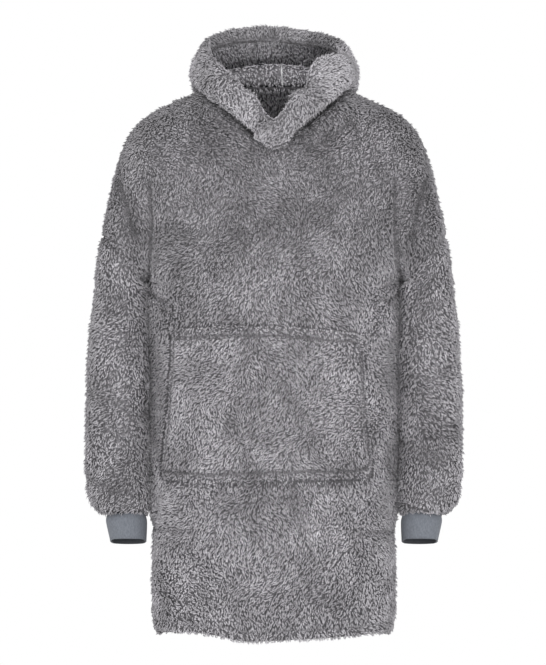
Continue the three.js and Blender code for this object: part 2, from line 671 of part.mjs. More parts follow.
const hoodAt = [];
for (let c = -1; c <= NECK_COLUMNS; c += 1) hoodAt.push((Math.sign(c) * neckShare(Math.abs(c))) / 2);
for (let c = NECK_COLUMNS - 1; c >= 0; c -= 1) hoodAt.push(1 - neckShare(c) / 2);
const hoodReading = Object.fromEntries(
  Object.keys(HOOD[0]).map((key) => [key, reading(HOOD, "at", key)]),
);
const hoodRoll = ["x", "y", "z"].map((key) => reading(HOOD_ROLL, "at", key));

// The neck seam on the hood's side, from one column past the throat round to the nape.
function neckSeam(frontRows, backRows) {
  const front = frontRows[frontRows.length - 1];
  const back = backRows[backRows.length - 1];
  const seam = [];
  for (let c = -1; c < NECK_COLUMNS; c += 1) seam.push(front[BODY_COLUMNS + c].clone());
  for (let c = NECK_COLUMNS; c >= 0; c -= 1) seam.push(back[BODY_COLUMNS + c].clone());
  seam[NECK_COLUMNS + 1].y = 0;
  for (const point of seam) point.z += NECK_GAP;
  return seam;
}

// Moves a point out until it is clear of the back and shoulders.
function restOnBody(point, clearance) {
  const face = point.y < 0 ? "front" : "back";
  const side = point.y < 0 ? -1 : 1;
  const depth = (dx, dz) => standOff(face, point.x + dx, point.z + dz);
  if (depth(0, 0) === 0) return;
  const slope = new THREE.Vector3(
    (depth(-1, 0) - depth(1, 0)) / 2,
    side,
    (depth(0, -1) - depth(0, 1)) / 2,
  );
  const away = (Math.abs(point.y) - depth(0, 0)) / slope.length();
  if (away < clearance) point.addScaledVector(slope.normalize(), clearance - away);
}

// Lays a point of the crossover flat on the other half.
function throat(point, upper) {
  const fade = clamp((THROAT.fades - Math.abs(point.x)) / (THROAT.fades - THROAT.flat), 0, 1);
  const rise = (point.z - THROAT.lowZ) / (THROAT.highZ - THROAT.lowZ);
  const flat = mix(THROAT.lowY, THROAT.highY, clamp(rise, -0.4, 1.3)) - (upper ? THROAT.overlap : 0);
  point.y = mix(point.y, flat, fade * fade * (3 - 2 * fade));
}

// Share of a rib's length at a step, closer together at both ends.
const stepShare = (k) => k / HOOD_STEPS - (0.55 * Math.sin((2 * Math.PI * k) / HOOD_STEPS)) / (2 * Math.PI);

// One rib of the hood from the face edge (first) to the neck seam (last).
function hoodRib(index, seam, upper) {
  const at = hoodAt[index];
  const row = Object.fromEntries(Object.keys(hoodReading).map((key) => [key, hoodReading[key](at)]));
  const face = new THREE.Vector3(row.faceX, row.faceY, row.faceZ);
  if (upper) face.add(new THREE.Vector3(...hoodRoll.map((shift) => shift(at))));
  const end = seam[index].clone();
  const onTop = upper && index < THROAT_DROP.length;
  if (onTop) end.z -= THROAT_DROP[index];
  const out = new THREE.Vector3(Math.cos(rad(row.heading)), Math.sin(rad(row.heading)), 0);
  const points = [face];
  for (const knot of RIB) {
    const point = face.clone().lerp(end, knot.share);
    const band = row.puff * (1 - row.pouch);
    point.addScaledVector(out, band * knot.bandOut + row.pouch * knot.pouchOut);
    point.z += band * knot.bandUp + row.pouch * knot.pouchUp;
    points.push(point);
  }
  points.push(end);
  const curve = new THREE.CatmullRomCurve3(points, false, "centripetal");
  const rib = Array.from({ length: HOOD_STEPS + 1 }, (_, k) => curve.getPointAt(stepShare(k)));
  rib.forEach((point, k) => {
    if (at < 0.45 && (k < HOOD_STEPS || onTop)) throat(point, upper);
    const nearSeam = (HOOD_STEPS - k) / 2;
    if (at > 0.2 && k < HOOD_STEPS) restOnBody(point, HOOD_REST * Math.min(1, nearSeam));
  });
  return rib;
}

function hoodFold(at, step) {
  let height = 0;
  for (const fold of HOOD_FOLDS) {
    const a = (at - fold.at) / fold.across;
    const b = (step - fold.step) / fold.along;
    height += fold.depth * Math.exp(-a * a - b * b);
  }
  return height;
}

// Half of the hood on the +X side. Its ribs run from the throat to the seam down the middle of the back.
function hoodHalf(seam, upper) {
  const ribs = hoodAt.map((_, index) => hoodRib(index, seam, upper));
  const last = ribs.length - 1;
  const plain = ribs.map((rib) => rib.map((p) => p.clone()));
  for (let i = 1; i <= last; i += 1) {
    for (let k = 1; k < HOOD_STEPS; k += 1) {
      const across = plain[Math.min(i + 1, last)][k].clone().sub(plain[i - 1][k]);
      const along = plain[i][k + 1].clone().sub(plain[i][k - 1]);
      const normal = along.cross(across).normalize();
      ribs[i][k].addScaledVector(normal, hoodFold(hoodAt[i], stepShare(k)));
    }
  }
  for (const point of ribs[last]) point.x = HALF_GAP;
  const inward = (i, j, normal) => {
    const step = normal.clone().negate();
    const nearSeam = upper && i < THROAT_DROP.length ? 0 : clamp((j - HOOD_STEPS + 3) / 3, 0, 1);
    step.lerp(neckInward(ribs[i][HOOD_STEPS]), nearSeam);
    if (i === last) step.setX(0);
    return step.normalize();
  };
  const thickness = (i, j) => {
    let length = 0;
    for (let k = 1; k <= j; k += 1) length += ribs[i][k].distanceTo(ribs[i][k - 1]);
    const band = clamp((HOOD_BAND - length) / 12, 0, 1) * clamp(i / 4 - 0.8, 0, 1);
    return mix(CLOTH, HOOD_BAND_CLOTH, band);
  };
  return wall(ribs, { inward, thickness });
}

const manifold = await Module();
manifold.setup();

function solid(geometry) {
  const bare = new THREE.BufferGeometry();
  bare.setAttribute("position", geometry.getAttribute("position"));
  bare.setIndex(geometry.index);
  const merged = mergeVertices(bare, 1e-3);
  return new manifold.Manifold(
    new manifold.Mesh({
      numProp: 3,
      vertProperties: merged.attributes.position.array,
      triVerts: new Uint32Array(merged.index.array),
    }),
  );
}

function geometryOf(body) {
  const mesh = body.getMesh();
  const geometry = new THREE.BufferGeometry();
  geometry.setAttribute("position", new THREE.Float32BufferAttribute(mesh.vertProperties, 3));
  geometry.setIndex([...mesh.triVerts]);
  return geometry;
}

// The pocket lies on the front: a layer made from the front's own points, moved out, cut to the outline.
function pocket(frontRows) {
  const outline = new THREE.Shape(POCKET.map((corner) => new THREE.Vector2(corner.x, corner.z)));
  const cutter = new THREE.ExtrudeGeometry(outline, { depth: 300, bevelEnabled: false });
  cutter.rotateX(Math.PI / 2);
  const low = POCKET.reduce((least, corner) => Math.min(least, corner.z), 0);
  const high = POCKET.reduce((most, corner) => Math.max(most, corner.z), -1e4);
  const height = high - low;
  const spans = (row) => row[BODY_COLUMNS].z > low - 60 && row[BODY_COLUMNS].z < high + 60;
  const rows = frontRows.filter(spans).map((row) => row.slice(1, -1));
  const out = (i, j) => {
    const up = rows[Math.min(i + 1, rows.length - 1)][j].clone().sub(rows[Math.max(i - 1, 0)][j]);
    const across = rows[i][Math.min(j + 1, rows[i].length - 1)].clone().sub(rows[i][Math.max(j - 1, 0)]);
    return across.cross(up).normalize();
  };
  const lift = (point) => {
    const side = clamp((Math.abs(point.x + 14) - 130) / 50, 0, 1);
    const middle = Math.sin(Math.PI * clamp((point.z - low) / height, 0, 1));
    return POCKET_LIFT + POCKET_GAPE * side * middle;
  };
  const outer = rows.map((row, i) =>
    row.map((point, j) => point.clone().addScaledVector(out(i, j), lift(point) + POCKET_CLOTH)),
  );
  const inward = (i, j) => rows[i][j].clone().addScaledVector(out(i, j), lift(rows[i][j])).sub(outer[i][j]);
  const layer = wall(outer, { thickness: () => 1, inward });
  return geometryOf(solid(layer).intersect(solid(cutter)));
}

function piece(name, geometry, color, roughness) {
  const merged = mergeVertices(geometry, 1e-3);
  const material = new THREE.MeshStandardMaterial({ color, roughness, metalness: 0 });
  const mesh = new THREE.Mesh(merged, material);
  mesh.name = name;
  return mesh;
}

const hoodie = new THREE.Group();
const front = panel("front");
const back = panel("back");
const seam = neckSeam(front.rows, back.rows);
const sleeveGeometry = sleeve();
const cuffGeometry = cuff();
const pile = (name, geometry) => hoodie.add(piece(name, geometry, CLOTH_GREY, 0.95));
const knit = (name, geometry) => hoodie.add(piece(name, geometry, KNIT_GREY, 0.9));
pile("front", front.geometry);
pile("back", back.geometry);
pile("sleeve_left", sleeveGeometry);
pile("sleeve_right", mirrored(sleeveGeometry));
pile("hood_left", hoodHalf(seam, true));
pile("hood_right", mirrored(hoodHalf(seam, false)));
pile("pocket", pocket(front.rows));
knit("cuff_left", cuffGeometry);
knit("cuff_right", mirrored(cuffGeometry));

export default hoodie;
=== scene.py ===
# A hooded pullover in grey deep-pile fleece with knitted cuffs, filled out with nobody in it.
# Each sewn piece is a thin shell laid on its solid's outer side, with creases, seams and stitched edges.
# Curved tapering locks stand on the shells as the pile. Metres, +Z up, the front faces -Y.
import itertools
import math

import bmesh
import bpy
import numpy as np
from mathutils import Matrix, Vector
from mathutils.bvhtree import BVHTree
from mathutils.kdtree import KDTree


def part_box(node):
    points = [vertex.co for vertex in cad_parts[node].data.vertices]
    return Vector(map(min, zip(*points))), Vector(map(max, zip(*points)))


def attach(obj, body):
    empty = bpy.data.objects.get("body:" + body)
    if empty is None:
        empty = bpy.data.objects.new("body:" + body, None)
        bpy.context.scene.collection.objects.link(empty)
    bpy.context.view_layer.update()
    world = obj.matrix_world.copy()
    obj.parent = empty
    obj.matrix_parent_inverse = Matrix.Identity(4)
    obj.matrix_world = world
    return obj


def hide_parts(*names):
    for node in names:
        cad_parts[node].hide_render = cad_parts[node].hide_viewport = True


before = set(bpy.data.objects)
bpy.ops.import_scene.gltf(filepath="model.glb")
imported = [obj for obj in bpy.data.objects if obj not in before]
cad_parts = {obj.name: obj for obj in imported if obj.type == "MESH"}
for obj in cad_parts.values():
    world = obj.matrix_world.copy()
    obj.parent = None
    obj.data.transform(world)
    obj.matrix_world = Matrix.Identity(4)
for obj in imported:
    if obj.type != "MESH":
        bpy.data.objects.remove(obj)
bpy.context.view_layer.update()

MM = 0.001
TINY = 1e-12
FAR = 1.0

# Picture and studio
PICTURE = (546, 665)
PIXEL = 1.75 * MM  # what one pixel of the picture spans at the garment
AIM = Vector((-PIXEL, 0, -421.6 * MM))
LENS = 600
SENSOR = 36
VIEW_END = 200
KEY_LIGHT = {"place": (-1.8, -3.2, 0.8), "size": 1.8, "power": 15}
FRONT_LIGHT = {"place": (0.4, -3.8, -1.5), "size": 2.4, "power": 175}
FLOOR = {"height": -1.13, "half_side": 3.0, "dark": 0.82, "pale": 0.85, "patches": 0.4}

# Pieces
FLEECE_NODES = ["front", "back", "sleeve_left", "sleeve_right", "hood_left", "hood_right", "pocket"]

# How a wall's outer side is found in its solid, and smoothed
WELD = 0.02 * MM  # points closer than this are one
SKIN = 0.1 * MM  # rays into the cloth start this far under a face
BUTT_GAP = 1.8 * MM  # a face with another piece closer in front of it is sewn against that piece
RIM_DEPTH = 20 * MM  # a face with more cloth than this behind it is on a wall's rim
BEND_LIMITS = (10, 20, 30, 40, 50, 60)  # degrees: each side of a wall grows over ever sharper bends
SAME_SIDE = 28  # degrees: a face that touches both sides still belongs to the one it bends less from
LONG_EDGE = 42 * MM  # longer edges are halved before the surface is smoothed
SMOOTHING = 2
NORMAL_PASSES = 8  # how often the normals are evened out before the cloth moves along them
SEAM_REACH = 7 * MM  # edges of two pieces closer than this are sewn together

# Cloth
SUNK = {"body": 6 * MM, "hood": 3.8 * MM, "pocket": 5 * MM}  # how far the cloth lies inside the solid
CLOTH = {"body": 4.0 * MM, "hood": 3.5 * MM, "pocket": 3.2 * MM, "cuff": 3 * MM}  # its thickness
THINNEST = 1 * MM
SHELL_SHARE = 0.42  # of the cloth's faces are kept, since the pile covers them
UNEVEN = {"height": 1.2 * MM, "size": 60 * MM, "seed": 5}
SEAM_GROOVE = {"depth": 3.2 * MM, "width": 8 * MM}
NECK_GROOVE = {"depth": 4.5 * MM, "width": 9 * MM}
GROOVE_TAKEN = 0.75  # how much of a groove the cloth's thickness takes, so that its inner side stays smooth
EDGE_ROUND = {"depth": 3 * MM, "width": 6 * MM}
# Lines sewn along an edge: how far from it, how wide and deep, and how far they press the pile down
STITCHED = {
    "front": {"from_edge": 20 * MM, "width": 4 * MM, "depth": 3.5 * MM, "press": 0.4},
    "back": {"from_edge": 20 * MM, "width": 4 * MM, "depth": 3.5 * MM, "press": 0.4},
    "pocket": {"from_edge": 15 * MM, "width": 4.6 * MM, "depth": 4.2 * MM, "press": 0.85},
}
CROWDED = {"from": 5 * MM, "to": 20 * MM, "share": 1.15}  # where two pieces press on each other's pile
# How far the face opening's edge is drawn back over the throat, and between which heights
HOOD_DRAWN = {
    "by": 14 * MM,
    "reach": 50 * MM,
    "bottom": -62 * MM,
    "top": 50 * MM,
    "fade": 26 * MM,
    "facing_up": 0.2,
    "passes": 12,
}
SIDE_FADE = 30 * MM  # creases fade out where front and back are closer than this to the middle of the depth

# Creases in millimetres as seen from the front: where each runs, its width and its depth, troughs negative.
FRONT_CREASES = [
    (-214, -156, -212, -280, 6, -6.5),
    (211, -154, 209, -275, 6, -6.5),
    (-212, -280, -219, -335, 6, -4),
    (209, -275, 220, -335, 6, -4),
    (-266, -160, -243, -250, 7, -4.5),
    (260, -158, 242, -252, 7, -4.5),
    (-216, -330, -184, -337, 6, -4),
    (-214, -349, -188, -367, 6, -4),
    (216, -332, 186, -340, 6, -4),
    (214, -352, 192, -364, 6, -4),
    (-212, -762, -143, -767, 7, -4),
    (-206, -783, -160, -792, 8, -2.5),
    (210, -766, 148, -769, 7, -4),
    (206, -785, 176, -776, 8, -2.5),
    (-200, -240, -42, -246, 10, -2),
    (126, -28, 58, -78, 9, 3),
    (134, -56, 60, -104, 8, -3.5),
    (-132, -30, -70, -84, 9, -2.5),
    (-118, -58, -60, -106, 10, 2),
    (-45, -422, 66, -592, 15, -2.5),
    (20, -424, 104, -540, 14, -1.5),
    (30, -690, 44, -742, 16, -4),
    (-318, -345, -276, -366, 9, -3),
    (-316, -372, -284, -384, 8, -2.5),
    (316, -350, 280, -368, 9, -3),
    (322, -470, 268, -505, 12, -3),
    (-324, -520, -262, -548, 13, -3),
    (-230, -560, -276, -590, 12, -2.5),
    (228, -610, 282, -640, 12, -2.5),
    (-322, -676, -252, -700, 9, -3),
    (320, -684, 254, -702, 9, -3),
]
BACK_CREASES = [
    (-212, -200, -219, -330, 8, -5),
    (212, -195, 219, -330, 8, -5),
    (-260, -170, -244, -262, 9, -4),
    (258, -176, 244, -255, 9, -4),
    (-214, -338, -164, -352, 7, -4),
    (214, -344, 172, -350, 7, -4),
    (-210, -360, -182, -392, 7, -3),
    (208, -772, 150, -764, 8, -3.5),
    (-212, -756, -158, -766, 8, -3.5),
    (-110, -128, 96, -136, 14, -3),
    (-150, -214, -34, -232, 15, -2.5),
    (60, -270, 150, -246, 14, -2.5),
    (-90, -520, 40, -536, 20, -2.5),
    (-20, -610, 120, -592, 20, -2),
    (-316, -360, -270, -380, 9, -3),
    (318, -372, 272, -396, 10, -3),
    (-324, -540, -258, -572, 12, -3),
    (324, -508, 262, -530, 12, -3),
    (320, -690, 256, -706, 9, -3),
    (-320, -682, -250, -700, 9, -3),
]

# Locks of the pile. In millimetres: length along the cloth, width, curl, and how near an edge they shorten.
# Shares: how uneven their length is, how many stand up, and how pale their roots are against the painted
# shade at the root.
LOCK = dict(length=7.4, width=2.6, curl=2.4, edge=14, uneven=0.34, standing=0.12, pale=0)
BACK_LOCK = dict(LOCK, length=8.8, width=3.4)
HOOD_LOCK = dict(length=7.6, width=2.4, curl=2.8, edge=2, uneven=0.4, standing=0.14, pale=0.3)
LINING_LOCK = dict(length=7.5, width=2.8, curl=2.8, edge=2, uneven=0.35, standing=0.1, pale=0.2)
RIM_LOCK = dict(LINING_LOCK, length=4.5)
# The pile of each part: its height in mm, the cloth to a lock in square mm, and the nap's swirl in radians
PILES = {
    "front": {"lock": LOCK, "height": 6.5, "area": 10.5, "swirl": 1.7},
    "back": {"lock": BACK_LOCK, "height": 6.5, "area": 28, "swirl": 1.5},
    "sleeve": {"lock": LOCK, "height": 6.5, "area": 13, "swirl": 1.0},
    "hood": {"lock": HOOD_LOCK, "height": 6.8, "area": 8.3, "swirl": 1.1},
    "pocket": {"lock": LOCK, "height": 6.5, "area": 9.5, "swirl": 1.9},
    "lining": {"lock": LINING_LOCK, "height": 5.5, "area": 16, "swirl": 1.0},
    "rim": {"lock": RIM_LOCK, "height": 3, "swirl": 1.0},
}
RIM_STEP = 0.9 * MM  # the edge to a lock on a rim
RIM_FAN = 0.5  # how far the locks on a rim lean to either side of the cloth
SEED = 1387
SPREAD_STEPS = (0.7548776662, 0.5698402910)  # steps that fill a square evenly
ROOT_DEPTH = 1.2 * MM
# Where a lock's middle and tip lie, as shares of its height, length and curl
LOCK_MIDDLE = {"up": 0.66, "along": 0.36, "aside": 0.7}
LOCK_TIP = {"up": 0.92, "along": 1.0, "aside": -0.6}
RING_TURNS = (90, 210, 330)  # degrees: where the three points around its middle lie
LOCK_LEVELS = np.array((0.0, 0.62, 0.5, 0.5, 1.0))  # from the root's painted shade to the tip's colour, at each point
LOCK_POINTS = len(LOCK_LEVELS)
LOCK_FACES = np.array(((0, 2, 1), (0, 3, 2), (0, 1, 3), (4, 1, 2), (4, 2, 3), (4, 3, 1)))
UP_STANDING = {"height": 1.65, "length": 0.7}  # against a lying lock
AT_EDGE = 0.45  # a lock's length at an edge against one far from it
WIDTH_VARIES = 0.3
HEIGHT_VARIES = {"least": 0.86, "more": 0.2}
TUFT = {"locks": 3, "middle": 0.15, "tip": 0.42}  # locks to a tuft, and how far they lean together
PRESS = {"seam": 0.45, "neck": 1.0, "crease": 0.6}  # how far each presses the pile down
SEAM_PRESS_WIDTH = 0.5  # of the seam's groove
FULL_CREASE = 5 * MM  # a crease this deep presses the pile fully
PRESSED = {"shorter": 0.5, "lower": 0.45}

# The nap's direction
BROAD_SWIRL = {"size": 95 * MM, "seed": 11}
SMALL_SWIRLS = (
    {"size": 38 * MM, "seed": 12, "turn": 0.75},
    {"size": 14 * MM, "seed": 13, "turn": 0.35},
)
STRAY = 0.22  # radians that single locks stray from the nap
HANGING = {"lean": 0.25, "over": 0.3}  # the nap leans outward over this much width
FACE_CENTRE = np.array((0, 0.05, 0.02))
FACE_FLATTENED = 0.6
FACE_HANGS = 0.25

# These are painted light and shade, added to a lock's own tone, which is between 0 and 1. A step of 1 is
# 0.4 of the brightness.
# Painted shade where the pile is pressed into seams, stitched lines and creases.
PRESSED_PAINTED_SHADE = 1.5
CROWDED_DIM = 0.8  # in the shade between sleeve and body
LINING_PAINTED_LIGHT = 1.45  # painted light that brightens the shaded inside of the hood and back
LINING_EDGE = {"painted_shade": 1.9, "width": 15 * MM}  # where the rim's pile shades it
YOKE = {"bottom": -0.42, "fade": 0.22, "painted_shade": 0.75}  # painted shade, darker up the yoke
# Painted light, lighter down towards the hem.
HEM_PAINTED_LIGHT = {"top": -0.6, "fade": 0.3, "lift": 0.3}
# Painted shade, darker up the hood's top.
HOOD_TOP = {"bottom": 0.04, "fade": 0.05, "painted_shade": 0.8}
# Painted shade on the rim's locks along the top of the face opening.
RIM_TOP = {"bottom": 0.03, "fade": 0.03, "painted_shade": 1.8}

POCKET_MARGIN = 5 * MM  # the front has no pile where the pocket reaches this near
NECK_LINING = {"bottom": -0.15, "fade": 30 * MM}  # the back's inner side has pile above this
# The tape lies in front of the nape's lining by its lift, as seen from a place inside the hood
TAPE = {
    "x": 14 * MM,
    "top": 53 * MM,
    "bottom": 12 * MM,
    "width": 3 * MM,
    "thick": 0.8 * MM,
    "seen_from": -60 * MM,
    "lift": 19 * MM,
    "sway": 0.8 * MM,
    "wave": 9 * MM,
    "rows": 9,
}
CUFF_TUCK = {"over": 12 * MM, "up": 9 * MM, "in": 6 * MM}
CUFF_MOUTH = {"over": 30 * MM, "reach": 18 * MM, "drop": 2.5 * MM}

# Colours, linear
PILE_TIP = (0.57, 0.553, 0.584)
# The root's colour is painted shade, for the shade deep in the pile: at the locks' roots and on the cloth
# under them.
PILE_ROOT_PAINTED_SHADE = (0.075, 0.0725, 0.078)
# Where the cloth under the pile lies between the root's painted shade and the tip's colour: mostly painted
# shade.
GROUND_PAINTED_SHADES = {"body": (0, 0.28), "pocket": (0, 0.28), "hood": (0.15, 0.45)}
KNIT_GREY = (0.165, 0.178, 0.203)
KNIT_GROOVE_SHADE = 0.7
CUFF_INSIDE_SHADE = 0.25
TAPE_GREY = (0.72, 0.72, 0.74)
NOISE_SPAN = (0.3, 0.7)  # most values of a noise are in this range
SPECULAR = 0.2
SHEEN_ROUGHNESS = 0.5

TABLE_SIZE = 4096
HASH = np.array((73856093, 19349663, 83492791))


# Arithmetic
def smooth_noise(points, size, seed):
    """Smooth noise from -1 to 1 at each point, which changes over about size metres."""
    table = np.random.default_rng(seed).uniform(-1, 1, TABLE_SIZE)
    scaled = points / size
    cell = np.floor(scaled).astype(np.int64)
    part = scaled - cell
    part = part * part * (3 - 2 * part)
    total = np.zeros(len(points))
    for corner in itertools.product((0, 1), repeat=3):
        at = (cell + corner) * HASH
        index = (at[:, 0] ^ at[:, 1] ^ at[:, 2]) % TABLE_SIZE
        weight = np.prod(np.where(corner, part, 1 - part), axis=1)
        total += weight * table[index]
    return total


def unit(vectors):
    """Each vector at length 1."""
    length = np.linalg.norm(vectors, axis=-1, keepdims=True)
    return vectors / np.maximum(length, TINY)


def bump_profile(distance, centre, width):
    """1 at the centre, falling off smoothly to both sides."""
    away = (distance - centre) / width
    return np.exp(-away * away)


def rising(value, start, reach):
    """0 up to the start, then rising to 1 over the reach."""
    return np.clip((value - start) / reach, 0, 1)


def falling(value, end, reach):
    """1 at first, then falling over the reach to 0 at the end."""
    return np.clip((end - value) / reach, 0, 1)


def tree_of(points):
    """A search tree for the nearest of some points."""
    tree = KDTree(len(points))
    for index, point in enumerate(points):
        tree.insert(point, index)
    tree.balance()
    return tree


def distance_to(points, targets):
    """How far each point is from the nearest target."""
    if len(targets) == 0:
        return np.full(len(points), FAR)
    tree = tree_of(targets)
    return np.array([tree.find(point)[2] for point in points])


def kind_of(node):
    """Which kind of cloth a node is: hood, pocket or body."""
    if node.startswith("hood"):
        return "hood"
    return "pocket" if node == "pocket" else "body"


# Meshes
def make_mesh(name, points, faces):
    """A mesh from an array of points and an array of faces that all have as many corners."""
    mesh = bpy.data.meshes.new(name)
    count, corners = faces.shape
    mesh.vertices.add(len(points))
    mesh.vertices.foreach_set("co", points.astype(np.float32).ravel())
    mesh.loops.add(count * corners)
    mesh.loops.foreach_set("vertex_index", faces.astype(np.int32).ravel())
    mesh.polygons.add(count)
    mesh.polygons.foreach_set("loop_start", np.arange(0, count * corners, corners, dtype=np.int32))
    mesh.polygons.foreach_set("use_smooth", np.ones(count, dtype=bool))
    mesh.update(calc_edges=True)
    return mesh


def add_attribute(mesh, name, values):
    """Gives each point of a mesh a value that its material reads."""
    attribute = mesh.attributes.new(name, "FLOAT", "POINT")
    attribute.data.foreach_set("value", values.astype(np.float32))


def add_object(name, mesh, material):
    """An object in the scene, with one material."""
    piece = bpy.data.objects.new(name, mesh)
    bpy.context.scene.collection.objects.link(piece)
    mesh.materials.append(material)
    return piece


def point_normals(points, faces):
    """The normal at each point of a surface of quads."""
    a, b, c, d = (points[faces[:, k]] for k in range(4))
    across = np.cross(c - a, d - b)
    normals = np.zeros_like(points)
    for k in range(4):
        np.add.at(normals, faces[:, k], across)
    return unit(normals)


def face_edges(faces):
    """The edges of all the faces as pairs of points, so that an inner edge comes twice."""
    return np.concatenate([faces[:, (k, (k + 1) % 4)] for k in range(4)])


def neighbours(faces):
    """Each edge as a pair of points, once from either end."""
    pairs = face_edges(faces)
    return np.concatenate((pairs, pairs[:, ::-1]))


def blurred_normals(normals, faces, passes):
    """Normals evened out over their neighbours, so that a tight bend can be moved in without crossing."""
    pairs = neighbours(faces)
    for _ in range(passes):
        total = normals * 2
        np.add.at(total, pairs[:, 0], normals[pairs[:, 1]])
        normals = unit(total)
    return normals


def blurred_vectors(vectors, faces, passes):
    """Vectors evened out over their neighbours."""
    pairs = neighbours(faces)
    uses = np.full((len(vectors), 1), 2.0)
    np.add.at(uses, pairs[:, 0], 1)
    for _ in range(passes):
        total = vectors * 2
        np.add.at(total, pairs[:, 0], vectors[pairs[:, 1]])
        vectors = total / uses
    return vectors


def open_edges(faces):
    """The open edges of a surface as pairs of points, in the direction of their faces."""
    edges = face_edges(faces)
    key = np.sort(edges, axis=1)
    _, inverse, uses = np.unique(key, axis=0, return_inverse=True, return_counts=True)
    return edges[uses[inverse.ravel()] == 1]


def free_edges(surface):
    """The open edges that aren't sewn to another piece: their first and their second points."""
    a, b = surface["open"].T
    free = np.isin(a, surface["free"]) & np.isin(b, surface["free"])
    return a[free], b[free]


# Surfaces taken from the frame
def tree_of_nodes(nodes):
    """All the triangles of some nodes, for finding what lies in front of a face."""
    points, triangles = [], []
    for node in nodes:
        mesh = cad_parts[node].data
        first = len(points)
        points.extend(vertex.co.copy() for vertex in mesh.vertices)
        triangles.extend([first + index for index in face.vertices] for face in mesh.polygons)
    return BVHTree.FromPolygons(points, triangles)


def behind(face, own, reach):
    """The index of the face on the cloth's other side, or None if that is farther than the reach."""
    return own.ray_cast(face.calc_center_median() - face.normal * SKIN, -face.normal, reach)[2]


def on_rim(face, own, others):
    """Whether a face is sewn against another piece, or has a sheet's whole width behind it."""
    if others.ray_cast(face.calc_center_median(), face.normal, BUTT_GAP)[0] is not None:
        return True
    return behind(face, own, RIM_DEPTH) is None


def grow(side, free, limit):
    """Adds the free faces that a side reaches over edges that bend less than the limit, in degrees."""
    queue = list(side)
    for face in queue:
        for edge in face.edges:
            if len(edge.link_faces) == 2 and math.degrees(edge.calc_face_angle()) < limit:
                near = [other for other in edge.link_faces if other in free]
                free.difference_update(near)
                side.update(near)
                queue.extend(near)


def wall_outside(bm, others, middle):
    """The faces on a wall's outer side.

    Both sides grow from a facing pair, and what neither reaches is the rim.
    """
    bm.faces.ensure_lookup_table()
    own = BVHTree.FromBMesh(bm)
    free = {face for face in bm.faces if not on_rim(face, own, others)}

    def outward(face):
        return face.calc_area() * face.normal.dot(face.calc_center_median() - middle)

    seed = max(free, key=outward)
    opposite = bm.faces[behind(seed, own, FAR)]
    outside, inside = {seed}, {opposite}
    free -= outside | inside
    for limit in BEND_LIMITS:
        grow(outside, free, limit)
        grow(inside, free, limit)
    inner_points = {point for face in inside for point in face.verts}
    doubtful = {face for face in outside if inner_points.intersection(face.verts)}
    outside -= doubtful
    grow(outside, doubtful, SAME_SIDE)
    outer_points = {point for face in outside for point in face.verts}
    return outside | {face for face in bm.faces if outer_points.issuperset(face.verts)}


def outer_cage(node):
    """The outer side of a node's wall as a coarse mesh, mostly of quads."""
    bm = bmesh.new()
    bm.from_mesh(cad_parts[node].data)
    bmesh.ops.remove_doubles(bm, verts=bm.verts, dist=WELD)
    others = tree_of_nodes([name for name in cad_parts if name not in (node, "pocket")])
    low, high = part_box(node)
    outside = wall_outside(bm, others, (low + high) / 2)
    bmesh.ops.delete(bm, geom=[face for face in bm.faces if face not in outside], context="FACES")
    bmesh.ops.join_triangles(
        bm, faces=bm.faces, angle_face_threshold=math.pi, angle_shape_threshold=math.pi
    )
    long_edges = [edge for edge in bm.edges if edge.calc_length() > LONG_EDGE]
    bmesh.ops.subdivide_edges(bm, edges=long_edges, cuts=1, use_grid_fill=True)
    mesh = bpy.data.meshes.new(node + "_cage")
    bm.to_mesh(mesh)
    bm.free()
    return mesh


def outer_surface(node):
    """The outer side of a node's wall, smoothed and divided into small quads: points and faces."""
    mesh = outer_cage(node)
    cage = bpy.data.objects.new(node + "_cage", mesh)
    bpy.context.scene.collection.objects.link(cage)
    rounding = cage.modifiers.new("rounding", "SUBSURF")
    rounding.levels = SMOOTHING
    rounding.boundary_smooth = "PRESERVE_CORNERS"
    smooth = cage.evaluated_get(bpy.context.evaluated_depsgraph_get()).to_mesh()
    points = np.zeros(len(smooth.vertices) * 3)
    smooth.vertices.foreach_get("co", points)
    faces = np.zeros(len(smooth.loops), dtype=np.int64)
    smooth.loops.foreach_get("vertex_index", faces)
    bpy.data.objects.remove(cage)
    bpy.data.meshes.remove(mesh)
    return points.reshape(-1, 3), faces.reshape(-1, 4)


def read_surface(node):
    """A node's outer side with its normals, its open edges and the points on them."""
    points, faces = outer_surface(node)
    edges = open_edges(faces)
    return {
        "points": points,
        "faces": faces,
        "normals": point_normals(points, faces),
        "open": edges,
        "rim": np.unique(edges),
    }


def find_seams(surface, others):
    """Finds the rim points sewn to another piece, the normals shared there, and the free rim points."""
    rim_points = np.concatenate([other["points"][other["rim"]] for other in others])
    rim_normals = np.concatenate([other["normals"][other["rim"]] for other in others])
    tree = tree_of(rim_points)
    sewn, shared = [], []
    for index in surface["rim"]:
        near = tree.find_range(surface["points"][index], SEAM_REACH)
        if near:
            sewn.append(index)
            shared.append(surface["normals"][index] + np.mean([rim_normals[n[1]] for n in near], axis=0))
    surface["sewn"] = np.array(sewn, dtype=np.int64)
    surface["shared"] = unit(np.array(shared)) if sewn else np.zeros((0, 3))
    surface["free"] = np.setdiff1d(surface["rim"], surface["sewn"])


def crowding(surface, others):
    """From 0 to 1 at each point: how near another piece's outside faces this one."""
    points = np.concatenate([other["points"] for other in others])
    normals = np.concatenate([other["normals"] for other in others])
    tree = tree_of(points)
    found = [tree.find(point) for point in surface["points"]]
    index = np.array([hit[1] for hit in found])
    away = np.array([hit[2] for hit in found])
    facing = np.clip(-np.sum(surface["normals"] * normals[index], axis=1) * 2, 0, 1)
    return facing * falling(away, CROWDED["to"], CROWDED["to"] - CROWDED["from"])


